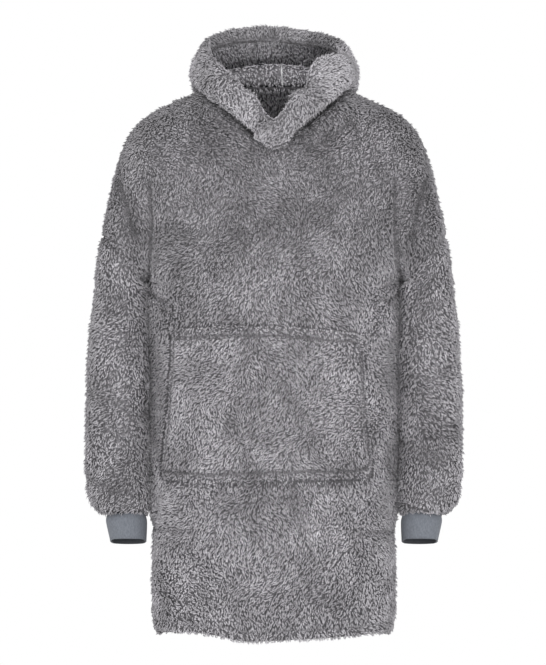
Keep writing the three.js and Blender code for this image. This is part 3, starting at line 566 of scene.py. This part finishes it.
def gather_surfaces(nodes):
    """Each node's outer side, with how near its points are to a seam, an edge, the hood and other cloth."""
    surfaces = {node: read_surface(node) for node in nodes}
    others = {node: [surfaces[name] for name in nodes if name != node] for node in nodes}
    for node, surface in surfaces.items():
        find_seams(surface, others[node])
    hoods = [surfaces[name] for name in nodes if kind_of(name) == "hood"]
    hood_seams = np.concatenate([hood["points"][hood["sewn"]] for hood in hoods])
    for node, surface in surfaces.items():
        surface["crowded"] = crowding(surface, others[node])
        surface["to_hood"] = distance_to(surface["points"], hood_seams)
    for surface in surfaces.values():
        surface["normals"][surface["sewn"]] = surface["shared"]
        points = surface["points"]
        surface["to_seam"] = distance_to(points, points[surface["sewn"]])
        surface["to_edge"] = distance_to(points, points[surface["free"]])
    return surfaces


# Cloth
def crease_lift(points, creases):
    """How far the creases lift the cloth at each point, in metres."""
    lift = np.zeros(len(points))
    seen = points[:, (0, 2)]
    for x0, z0, x1, z1, width, depth in creases:
        start = np.array((x0, z0)) * MM
        run = np.array((x1, z1)) * MM - start
        along = np.clip((seen - start) @ run / (run @ run), 0, 1)
        distance = np.linalg.norm(seen - start - along[:, None] * run, axis=1)
        lift += depth * MM * bump_profile(distance, 0, width * MM)
    return lift


def creases_at(points):
    """How far the creases of front or back lift the cloth at each point. They fade out at the sides."""
    front = points[:, 1] < 0
    lift = np.zeros(len(points))
    lift[front] = crease_lift(points[front], FRONT_CREASES)
    lift[~front] = crease_lift(points[~front], BACK_CREASES)
    return lift * np.clip(np.abs(points[:, 1]) / SIDE_FADE, 0, 1)


def drawn_back(surface):
    """A hood's points, with the face opening's edge drawn back along the cloth to open the throat."""
    points = surface["points"]
    a, b = free_edges(surface)
    outward = unit(np.cross(points[b] - points[a], surface["normals"][a]))
    tree = tree_of(points[a])
    nearest = np.array([tree.find(point)[1] for point in points])
    height = points[a, 2]
    upper = rising(height, HOOD_DRAWN["bottom"], HOOD_DRAWN["fade"])
    lower = falling(height, HOOD_DRAWN["top"], HOOD_DRAWN["fade"])
    amount = HOOD_DRAWN["by"] * upper * lower * (outward[:, 2] > HOOD_DRAWN["facing_up"])
    share = np.clip(1 - surface["to_edge"] / HOOD_DRAWN["reach"], 0, 1)
    move = outward[nearest] * (amount[nearest] * share)[:, None]
    return points - blurred_vectors(move, surface["faces"], HOOD_DRAWN["passes"])


def lay_cloth(node, surface):
    """Moves a surface in from the pile's outside to the cloth, with seams, stitched edges and creases."""
    is_hood = kind_of(node) == "hood"
    points = drawn_back(surface) if is_hood else surface["points"]
    normals = blurred_normals(surface["normals"], surface["faces"], NORMAL_PASSES)
    normals[surface["sewn"]] = surface["shared"]
    sunk = SUNK[kind_of(node)] * (1 - CROWDED["share"] * surface["crowded"])
    groove = SEAM_GROOVE["depth"] * bump_profile(surface["to_seam"], 0, SEAM_GROOVE["width"])
    if node in ("front", "back"):
        groove += NECK_GROOVE["depth"] * bump_profile(surface["to_hood"], 0, NECK_GROOVE["width"])
    surface["groove"] = groove
    sunk += groove
    if not is_hood:
        sunk += EDGE_ROUND["depth"] * bump_profile(surface["to_edge"], 0, EDGE_ROUND["width"])
    if node in STITCHED:
        line = STITCHED[node]
        sunk += line["depth"] * bump_profile(surface["to_edge"], line["from_edge"], line["width"])
    surface["lift"] = np.zeros(len(points)) if is_hood else creases_at(points)
    uneven = UNEVEN["height"] * smooth_noise(points, UNEVEN["size"], UNEVEN["seed"])
    sunk += uneven - surface["lift"]
    surface["cloth"] = points - normals * sunk[:, None]
    surface["normals"] = point_normals(surface["cloth"], surface["faces"])
    surface["normals"][surface["sewn"]] = surface["shared"]


def inner_side(surface, thickness):
    """The inner side's points. It stays smooth where the outer side has a seam's groove."""
    thin = np.maximum(thickness - GROOVE_TAKEN * surface["groove"], THINNEST)
    return surface["cloth"] - surface["normals"] * thin[:, None]


def close_wall(surface, thickness):
    """Gives a surface a second side and a rim: points and faces of the closed wall."""
    outside = surface["cloth"]
    inside = inner_side(surface, thickness)
    count = len(outside)
    faces = surface["faces"]
    a, b = surface["open"].T
    rim = np.column_stack((b, a, a + count, b + count))
    return np.concatenate((outside, inside)), np.concatenate((faces, faces[:, ::-1] + count, rim))


def thinned(name, mesh, share):
    """The same surface with fewer faces."""
    holder = bpy.data.objects.new("holder", mesh)
    bpy.context.scene.collection.objects.link(holder)
    holder.modifiers.new("thinning", "DECIMATE").ratio = share
    result = bpy.data.meshes.new_from_object(holder.evaluated_get(bpy.context.evaluated_depsgraph_get()))
    bpy.data.objects.remove(holder)
    bpy.data.meshes.remove(mesh)
    result.name = name
    return result


def add_shell(node, surface, material):
    """The cloth of one fleece piece, in its solid's place."""
    points, faces = close_wall(surface, CLOTH[kind_of(node)])
    mesh = thinned(node + "_cloth", make_mesh("wall", points, faces), SHELL_SHARE)
    shell = add_object(node + "_cloth", mesh, material)
    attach(shell, "root")
    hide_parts(node)
    return shell


# Pile
def spread(points, surface, facing, area, rng, weight=None):
    """Evenly scattered spots on a surface, with what the surface knows at each of them."""
    faces = surface["faces"]
    a, b, c, d = (points[faces[:, k]] for k in range(4))
    wanted = np.linalg.norm(np.cross(c - a, d - b), axis=1) / 2 / (area * MM * MM)
    if weight is not None:
        wanted = wanted * weight[faces].mean(axis=1)
    count = np.floor(wanted + rng.random(len(faces))).astype(int)
    face = np.repeat(np.arange(len(faces)), count)
    order = np.arange(len(face)) - np.repeat(np.cumsum(count) - count, count)
    start = rng.random((len(faces), 2))[face]
    u, v = ((start[:, k] + order * SPREAD_STEPS[k]) % 1 for k in (0, 1))
    corner = faces[face]
    shares = np.column_stack(((1 - u) * (1 - v), u * (1 - v), u * v, (1 - u) * v))
    spots = {
        "place": np.einsum("nk,nkc->nc", shares, points[corner]),
        "facing": unit(np.einsum("nk,nkc->nc", shares, facing[corner])),
    }
    for key in ("to_edge", "to_seam", "to_hood", "crowded", "lift"):
        spots[key] = np.einsum("nk,nk->n", shares, surface[key][corner])
    return spots


def settle_on_creases(spots):
    """Moves spots to the creases' exact depth, which the quads follow only roughly. Returns that depth."""
    lift = creases_at(spots["place"])
    spots["place"] += spots["facing"] * (lift - spots["lift"])[:, None]
    return lift


def press_pile(node, spots):
    """Says from 0 to 1 how far each lock is pressed down in a seam, a stitched line or a crease."""
    share = PRESS["seam"] * bump_profile(spots["to_seam"], 0, SEAM_GROOVE["width"] * SEAM_PRESS_WIDTH)
    if node in STITCHED:
        line = STITCHED[node]
        share += line["press"] * bump_profile(spots["to_edge"], line["from_edge"], line["width"])
    if node in ("front", "back"):
        share += PRESS["neck"] * bump_profile(spots["to_hood"], 0, NECK_GROOVE["width"])
    if kind_of(node) != "hood":
        share += PRESS["crease"] * np.clip(-settle_on_creases(spots) / FULL_CREASE, 0, 1)
    spots["pressed"] = np.clip(share, 0, 1)


def flow_angle(places, swirl):
    """Which way the nap lies, in radians from straight down: large swirls with smaller ones in them."""
    angle = swirl * smooth_noise(places, BROAD_SWIRL["size"], BROAD_SWIRL["seed"])
    for small in SMALL_SWIRLS:
        angle += small["turn"] * smooth_noise(places, small["size"], small["seed"])
    return angle


def downward(places):
    """The nap hangs down and a little outward."""
    lean = np.clip(places[:, 0] / HANGING["over"], -1, 1) * HANGING["lean"]
    return np.column_stack((lean, np.zeros(len(places)), -np.ones(len(places))))


def from_face(places):
    """On the hood the nap runs away from the face opening, and hangs a little."""
    away = places - FACE_CENTRE
    away[:, 1] *= FACE_FLATTENED
    return unit(away) + np.array((0, 0, -FACE_HANGS))


def lock_directions(spots, lay, swirl, rng):
    """Which way each lock lies along the cloth, and which way is to its side."""
    places, facing = spots["place"], spots["facing"]
    lay = lay(places)
    angle = flow_angle(places, swirl) + rng.normal(0, STRAY, len(places))
    along = unit(lay - facing * np.sum(lay * facing, axis=1)[:, None])
    across = np.cross(facing, along)
    flow = along * np.cos(angle)[:, None] + across * np.sin(angle)[:, None]
    return flow, np.cross(facing, flow)


def lock_sizes(spots, pile, rng):
    """Each lock's length, width, curl and rise, in metres and as columns."""
    lock, pressed = pile["lock"], spots["pressed"]
    count = len(pressed)
    uneven = 1 + lock["uneven"] * rng.uniform(-1, 1, count)
    uneven *= AT_EDGE + (1 - AT_EDGE) * np.clip(spots["to_edge"] / (lock["edge"] * MM), 0, 1)
    uneven *= 1 - PRESSED["shorter"] * pressed
    length = lock["length"] * MM * uneven
    width = lock["width"] * MM * (1 + WIDTH_VARIES * rng.uniform(-1, 1, count))
    curl = lock["curl"] * MM * rng.uniform(-1, 1, count)
    rise = pile["height"] * MM * (HEIGHT_VARIES["least"] + HEIGHT_VARIES["more"] * rng.random(count))
    rise = rise * (1 - PRESSED["lower"] * pressed)
    stands = rng.random(count) < lock["standing"]
    rise = np.where(stands, rise * UP_STANDING["height"], rise)
    length = np.where(stands, length * UP_STANDING["length"], length)
    return length[:, None], width[:, None], curl[:, None], rise[:, None]


def tuft_leaders(places, rng):
    """For each lock, the one whose tip its own tip leans to, so that the pile stands in tufts."""
    leaders = rng.permutation(len(places))[: max(1, len(places) // TUFT["locks"])]
    tree = tree_of(places[leaders])
    return leaders[[tree.find(place)[1] for place in places]]


def locks(spots, lay, pile, rng, painted_light_and_shade=0.0):
    """Curved tapering locks, each a closed spindle of three sides.

    Returns their points and faces, each point's painted light from root to tip, and its tone with painted
    light and shade added.
    """
    places, facing = spots["place"], spots["facing"]
    count = len(places)
    flow, side = lock_directions(spots, lay, pile["swirl"], rng)
    length, width, curl, rise = lock_sizes(spots, pile, rng)

    def along_lock(part):
        return (
            places
            + facing * rise * part["up"]
            + flow * length * part["along"]
            + side * curl * part["aside"]
        )

    root = places - facing * ROOT_DEPTH
    middle, tip = along_lock(LOCK_MIDDLE), along_lock(LOCK_TIP)
    leader = tuft_leaders(places, rng)
    middle += TUFT["middle"] * (middle[leader] - middle)
    tip += TUFT["tip"] * (tip[leader] - tip)
    top = unit(np.cross(side, unit(tip - root)))
    ring = [
        middle + width / 2 * (math.cos(turn) * side + math.sin(turn) * top)
        for turn in map(math.radians, RING_TURNS)
    ]
    points = np.stack([root, *ring, tip], axis=1).reshape(-1, 3)
    faces = (np.arange(count)[:, None, None] * LOCK_POINTS + LOCK_FACES).reshape(-1, 3)
    # Each point's painted light: painted shade at the root, lighter towards the tip.
    pale = pile["lock"]["pale"]
    painted_depth_light = np.tile(pale + (1 - pale) * LOCK_LEVELS, count)
    own = rng.random(count)
    # A tuft's own tone, with painted light and shade added.
    tone_and_painted_light = (own + own[leader]) / 2 + painted_light_and_shade
    # Painted shade where the pile is pressed down, and between sleeve and body.
    tone_and_painted_light = tone_and_painted_light - PRESSED_PAINTED_SHADE * spots["pressed"] - CROWDED_DIM * spots["crowded"]
    return points, faces, painted_depth_light, np.repeat(tone_and_painted_light, LOCK_POINTS)


def painted_light_by_height(node, height):
    """Painted light and shade: how much lighter or darker the pile is painted at a height."""
    if kind_of(node) == "hood":
        return -HOOD_TOP["painted_shade"] * rising(height, HOOD_TOP["bottom"], HOOD_TOP["fade"])
    if node != "front":
        return np.zeros(len(height))
    hem = HEM_PAINTED_LIGHT["lift"] * falling(height, HEM_PAINTED_LIGHT["top"], HEM_PAINTED_LIGHT["fade"])
    return hem - YOKE["painted_shade"] * rising(height, YOKE["bottom"], YOKE["fade"])


def pile_on(node, surface, rng, lay, weight=None):
    """The pile on the outer side of a piece."""
    pile = PILES[node.split("_")[0]]
    spots = spread(surface["cloth"], surface, surface["normals"], pile["area"], rng, weight)
    press_pile(node, spots)
    return locks(spots, lay, pile, rng, painted_light_by_height(node, spots["place"][:, 2]))


def lining_on(node, surface, rng, lay, weight=None):
    """The pile on the inner side of a piece."""
    pile = PILES["lining"]
    inside = inner_side(surface, CLOTH[kind_of(node)])
    spots = spread(inside, surface, -surface["normals"], pile["area"], rng, weight)
    spots["pressed"] = np.zeros(len(spots["place"]))
    # Painted light over the lining, less painted shade near the free edge under the rim's pile.
    shade = LINING_EDGE["painted_shade"] * bump_profile(spots["to_edge"], 0, LINING_EDGE["width"])
    return locks(spots, lay, pile, rng, LINING_PAINTED_LIGHT - shade)


def rim_pile(node, surface, rng, lay):
    """Locks that stand on the rim of a free edge and cover it."""
    a, b = free_edges(surface)
    run = surface["cloth"][b] - surface["cloth"][a]
    count = np.floor(np.linalg.norm(run, axis=1) / RIM_STEP + rng.random(len(a))).astype(int)
    edge = np.repeat(np.arange(len(a)), count)
    facing = surface["normals"][a[edge]]
    outward = unit(np.cross(run[edge], facing))
    down = CLOTH[kind_of(node)] * rng.random((len(edge), 1))
    spots = {
        "place": surface["cloth"][a[edge]] + run[edge] * rng.random((len(edge), 1)) - facing * down,
        "facing": unit(outward + facing * rng.uniform(-RIM_FAN, RIM_FAN, (len(edge), 1))),
        "pressed": np.zeros(len(edge)),
        "crowded": np.zeros(len(edge)),
        "to_edge": np.full(len(edge), FAR),
    }
    # Painted shade on the rim's locks near the top.
    shade = RIM_TOP["painted_shade"] * rising(spots["place"][:, 2], RIM_TOP["bottom"], RIM_TOP["fade"])
    return locks(spots, lay, PILES["rim"], rng, -shade)


def beside_pocket(front, pocket):
    """1 where the front shows, 0 where the pocket covers it."""
    flat = np.array((1, 0, 1))
    covered = distance_to(front["cloth"] * flat, pocket["cloth"] * flat) < POCKET_MARGIN
    return np.where(covered & (front["cloth"][:, 1] < 0), 0.0, 1.0)


def pile_sets(surfaces):
    """The locks of each piece of pile, by its name."""
    rng = np.random.default_rng(SEED)
    front, back, pocket = (surfaces[node] for node in ("front", "back", "pocket"))
    shows = beside_pocket(front, pocket)
    yoke = front["cloth"][:, 2] > YOKE["bottom"]
    inside_neck = rising(back["cloth"][:, 2], NECK_LINING["bottom"], NECK_LINING["fade"])
    sets = {
        "front_yoke": [pile_on("front", front, rng, downward, shows * yoke)],
        "front_skirt": [pile_on("front", front, rng, downward, shows * ~yoke)],
        "back": [pile_on("back", back, rng, downward), lining_on("back", back, rng, downward, inside_neck)],
        "pocket": [pile_on("pocket", pocket, rng, downward)],
    }
    for side in ("left", "right"):
        sleeve, hood = "sleeve_" + side, "hood_" + side
        sets[sleeve] = [pile_on(sleeve, surfaces[sleeve], rng, downward)]
        sets[hood] = [
            pile_on(hood, surfaces[hood], rng, from_face),
            rim_pile(hood, surfaces[hood], rng, from_face),
            lining_on(hood, surfaces[hood], rng, downward),
        ]
    return sets


def add_pile(name, parts, material):
    """One piece of pile, joined from sets of locks."""
    start = 0
    joined = []
    for points, faces, painted_depth_light, tone_and_painted_light in parts:
        joined.append((points, faces + start, painted_depth_light, tone_and_painted_light))
        start += len(points)
    points, faces, painted_depth_light, tone_and_painted_light = (np.concatenate(group) for group in zip(*joined))
    mesh = make_mesh(name, points, faces)
    add_attribute(mesh, "painted_depth_light", painted_depth_light)
    add_attribute(mesh, "tone_and_painted_light", tone_and_painted_light)
    piece = add_object(name, mesh, material)
    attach(piece, "root")
    return piece


# Materials
class Nodes:
    """A material under construction: makes nodes and joins them."""

    def __init__(self, name):
        self.material = bpy.data.materials.new(name)
        self.material.use_nodes = True
        self.tree = self.material.node_tree
        self.shader = self.tree.nodes["Principled BSDF"]

    def add(self, kind, inputs=(), **settings):
        node = self.tree.nodes.new(kind)
        for key, value in settings.items():
            setattr(node, key, value)
        for socket, value in dict(inputs).items():
            if isinstance(value, bpy.types.NodeSocket):
                self.tree.links.new(value, node.inputs[socket])
            else:
                node.inputs[socket].default_value = value
        return node

    def place(self):
        return self.add("ShaderNodeTexCoord").outputs["Object"]

    def attribute(self, name):
        return self.add("ShaderNodeAttribute", attribute_name=name).outputs["Fac"]

    def noise(self, size, detail=2.0, stretch=(1, 1, 1), distortion=0.0):
        """Noise with features of about size metres."""
        mapping = self.add("ShaderNodeMapping", {"Vector": self.place(), "Scale": stretch})
        inputs = {
            "Vector": mapping.outputs["Vector"],
            "Scale": 1 / size,
            "Detail": detail,
            "Distortion": distortion,
        }
        return self.add("ShaderNodeTexNoise", inputs).outputs["Fac"]

    def ramp(self, value, source, target):
        """A value with the source range stretched to the target range, and held at its ends."""
        inputs = {
            "Value": value,
            "From Min": source[0],
            "From Max": source[1],
            "To Min": target[0],
            "To Max": target[1],
        }
        return self.add("ShaderNodeMapRange", inputs).outputs["Result"]

    def product(self, a, b):
        return self.add("ShaderNodeMath", {0: a, 1: b}, operation="MULTIPLY").outputs["Value"]

    def mix(self, share, a, b):
        """From colour a to colour b."""
        inputs = {"Factor": share, 6: (*a, 1), 7: (*b, 1)}
        return self.add("ShaderNodeMix", inputs, data_type="RGBA").outputs[2]

    def scaled(self, colour, factor):
        """A colour times a value."""
        node = self.add("ShaderNodeVectorMath", {0: colour, "Scale": factor}, operation="SCALE")
        return node.outputs["Vector"]

    def bump(self, height, strength, distance):
        inputs = {"Height": height, "Strength": strength, "Distance": distance}
        return self.add("ShaderNodeBump", inputs).outputs["Normal"]

    def finish(self, colour, roughness, sheen=0.0, normal=None):
        """Sets the shader and returns the material."""
        self.tree.links.new(colour, self.shader.inputs["Base Color"])
        self.shader.inputs["Roughness"].default_value = roughness
        self.shader.inputs["Specular IOR Level"].default_value = SPECULAR
        self.shader.inputs["Sheen Weight"].default_value = sheen
        self.shader.inputs["Sheen Roughness"].default_value = SHEEN_ROUGHNESS
        if normal is not None:
            self.tree.links.new(normal, self.shader.inputs["Normal"])
        return self.material


def nap_shade(nodes):
    """Light and dark patches where the pile was brushed one way or the other: partly the pile's own uneven
    tone, partly painted light and shade of the nap catching light differently.
    """
    broad = nodes.noise(75 * MM, detail=2, stretch=(1, 1, 0.8), distortion=0.6)
    small = nodes.noise(26 * MM, detail=3, stretch=(1, 1, 0.75), distortion=0.8)
    broad_shade = nodes.ramp(broad, (0.33, 0.67), (0.78, 1.22))
    small_shade = nodes.ramp(small, NOISE_SPAN, (0.87, 1.13))
    return nodes.product(broad_shade, small_shade)


def pile_material():
    """The locks: painted shade at the root and pale at the tip, each lock with its own tone, painted light
    and shade added to it, and fine strands.
    """
    nodes = Nodes("fleece_pile")
    colour = nodes.mix(nodes.attribute("painted_depth_light"), PILE_ROOT_PAINTED_SHADE, PILE_TIP)
    tone_and_painted_light = nodes.ramp(nodes.attribute("tone_and_painted_light"), (-2, 2), (0.05, 1.65))
    strands = nodes.noise(2.6 * MM, detail=2, stretch=(1, 1, 0.7), distortion=0.8)
    shade = nodes.product(nap_shade(nodes), tone_and_painted_light)
    shade = nodes.product(shade, nodes.ramp(strands, NOISE_SPAN, (0.74, 1.26)))
    return nodes.finish(nodes.scaled(colour, shade), roughness=0.85, sheen=0.15)


def ground_material(kind):
    """The cloth under the pile, painted mostly in the root's shade, for the shade under the pile."""
    nodes = Nodes(kind + "_ground")
    curls = nodes.noise(3.5 * MM, detail=2, stretch=(1, 1, 0.6), distortion=1.5)
    colour = nodes.mix(nodes.ramp(curls, (0.35, 0.65), GROUND_PAINTED_SHADES[kind]), PILE_ROOT_PAINTED_SHADE, PILE_TIP)
    normal = nodes.bump(curls, strength=0.8, distance=2 * MM)
    return nodes.finish(nodes.scaled(colour, nap_shade(nodes)), roughness=0.9, sheen=0.1, normal=normal)


def knit_material():
    """The cuffs' heather grey rib, with painted shade inside."""
    nodes = Nodes("knit")
    heather = nodes.noise(1.6 * MM, detail=2, stretch=(1, 1, 0.35), distortion=0.4)
    wave = {"Vector": nodes.place(), "Scale": 180, "Distortion": 1.2, "Detail": 2, "Detail Scale": 2}
    loops = nodes.add("ShaderNodeTexWave", wave, bands_direction="X").outputs["Fac"]
    groove_grey = tuple(KNIT_GROOVE_SHADE * c for c in KNIT_GREY)
    base = nodes.mix(nodes.ramp(loops, (0, 1), (0, 0.25)), KNIT_GREY, groove_grey)
    inner = nodes.ramp(nodes.attribute("inner"), (0, 1), (1, CUFF_INSIDE_SHADE))
    shade = nodes.product(nodes.ramp(heather, NOISE_SPAN, (0.82, 1.18)), inner)
    normal = nodes.bump(loops, strength=0.4, distance=0.4 * MM)
    return nodes.finish(nodes.scaled(base, shade), roughness=0.85, sheen=0.1, normal=normal)


def tape_material():
    """The tape's pale, plain weave."""
    nodes = Nodes("tape")
    weave = nodes.noise(0.9 * MM, detail=2)
    shade = nodes.ramp(weave, NOISE_SPAN, (0.9, 1.1))
    normal = nodes.bump(weave, strength=0.3, distance=0.2 * MM)
    return nodes.finish(nodes.scaled(TAPE_GREY, shade), roughness=0.8, normal=normal)


# Garment
def tape_path():
    """Where the tape's rows lie: across, in depth and in height. It hangs in front of the nape's lining."""
    wall = tree_of_nodes(["hood_left", "hood_right", "back"])
    heights = np.linspace(TAPE["top"], TAPE["bottom"], TAPE["rows"])
    starts = [(TAPE["x"], TAPE["seen_from"], height) for height in heights]
    depth = [wall.ray_cast(start, (0, 1, 0))[0].y for start in starts]
    smooth = np.polyval(np.polyfit(heights, depth, 3), heights)
    clear = smooth - np.max(smooth - depth) - TAPE["lift"]
    across = TAPE["x"] + TAPE["sway"] * np.sin(heights / TAPE["wave"])
    return across, clear, heights


def make_tape():
    """The narrow tape that hangs at the nape inside the hood."""
    across, depth, heights = tape_path()
    corners = [
        np.column_stack((across + side * TAPE["width"] / 2, depth + back * TAPE["thick"], heights))
        for side, back in ((-1, 0), (1, 0), (1, 1), (-1, 1))
    ]
    count = TAPE["rows"]
    rows = np.arange(count - 1)
    sides = [
        np.column_stack((k * count + rows, k * count + rows + 1, n * count + rows + 1, n * count + rows))
        for k, n in ((0, 1), (1, 2), (2, 3), (3, 0))
    ]
    first = np.arange(len(corners)) * count
    ends = np.array([first, first[::-1] + count - 1])
    mesh = make_mesh("nape_tape", np.concatenate(corners), np.concatenate((*sides, ends)))
    tape = add_object("nape_tape", mesh, tape_material())
    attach(tape, "root")
    return tape


def make_fleece():
    """Every fleece piece: its cloth and its pile."""
    surfaces = gather_surfaces(FLEECE_NODES)
    for node, surface in surfaces.items():
        lay_cloth(node, surface)
    pile = pile_material()
    ground = {kind: ground_material(kind) for kind in GROUND_PAINTED_SHADES}
    shells = {node: add_shell(node, surfaces[node], ground[kind_of(node)]) for node in FLEECE_NODES}
    sets = pile_sets(surfaces)
    tape = make_tape()
    for node, shell in shells.items():
        piles = [add_pile("pile_" + name, sets[name], pile) for name in sets if name.startswith(node)]
        if node == "hood_left":
            piles.append(tape)


def shape_cuff(points):
    """Draws the top of a cuff up and in, under the end of its sleeve, and tilts its mouth to the front."""
    top = points[:, 2].max()
    share = rising(points[:, 2], top - CUFF_TUCK["over"], CUFF_TUCK["over"]) ** 2
    middle = points[:, :2].mean(axis=0)
    points[:, :2] -= unit(points[:, :2] - middle) * (CUFF_TUCK["in"] * share)[:, None]
    points[:, 2] += CUFF_TUCK["up"] * share
    low = np.clip(1 - (points[:, 2] - points[:, 2].min()) / CUFF_MOUTH["over"], 0, 1)
    back = np.clip((points[:, 1] - middle[1]) / CUFF_MOUTH["reach"], -1, 1)
    points[:, 2] -= CUFF_MOUTH["drop"] * low * back


def make_cuff(node, material):
    """One knitted cuff, a tube with its own thickness."""
    points, faces = outer_surface(node)
    shape_cuff(points)
    surface = {
        "cloth": points,
        "faces": faces,
        "normals": point_normals(points, faces),
        "open": open_edges(faces),
        "groove": np.zeros(len(points)),
    }
    mesh = make_mesh(node + "_knit", *close_wall(surface, CLOTH["cuff"]))
    add_attribute(mesh, "inner", np.repeat((0.0, 1.0), len(points)))
    cuff = add_object(node + "_knit", mesh, material)
    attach(cuff, "root")
    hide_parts(node)


def make_cuffs():
    """Both cuffs, of the same knit."""
    knit = knit_material()
    for side in ("left", "right"):
        make_cuff("cuff_" + side, knit)


# Studio
def make_camera():
    """A camera straight in front, far off with a long lens."""
    data = bpy.data.cameras.new("camera")
    data.lens = LENS
    data.sensor_width = SENSOR
    data.clip_end = VIEW_END
    distance = PICTURE[1] * PIXEL * LENS / SENSOR
    camera = bpy.data.objects.new("camera", data)
    camera.location = AIM + Vector((0, -distance, 0))
    camera.rotation_euler = (math.radians(90), 0, 0)
    bpy.context.scene.collection.objects.link(camera)
    bpy.context.scene.camera = camera


def make_light(name, place, size, power):
    """A round lamp that is turned to the garment."""
    data = bpy.data.lights.new(name, "AREA")
    data.shape = "DISK"
    data.size = size
    data.energy = power
    lamp = bpy.data.objects.new(name, data)
    lamp.location = place
    lamp.rotation_euler = (AIM - Vector(place)).to_track_quat("-Z", "Y").to_euler()
    bpy.context.scene.collection.objects.link(lamp)


def make_floor():
    """A pale floor, which shows only in views from above."""
    nodes = Nodes("floor")
    patches = nodes.ramp(nodes.noise(FLOOR["patches"]), NOISE_SPAN, (0, 1))
    colour = nodes.mix(patches, (FLOOR["dark"],) * 3, (FLOOR["pale"],) * 3)
    side = FLOOR["half_side"]
    around = ((-1, -1), (1, -1), (1, 1), (-1, 1))
    corners = np.array([(x * side, y * side, FLOOR["height"]) for x, y in around])
    mesh = make_mesh("floor", corners, np.array([[0, 1, 2, 3]]))
    add_object("floor", mesh, nodes.finish(colour, roughness=0.7))


def make_studio():
    """White surroundings, two lamps and the floor."""
    world = bpy.data.worlds.new("studio")
    world.use_nodes = True
    background = world.node_tree.nodes["Background"]
    background.inputs["Color"].default_value = (1, 1, 1, 1)
    background.inputs["Strength"].default_value = 1.0
    bpy.context.scene.world = world
    bpy.context.scene.view_settings.view_transform = "Standard"
    make_light("key", **KEY_LIGHT)
    make_light("front", **FRONT_LIGHT)
    make_floor()


make_camera()
make_fleece()
make_cuffs()
make_studio()
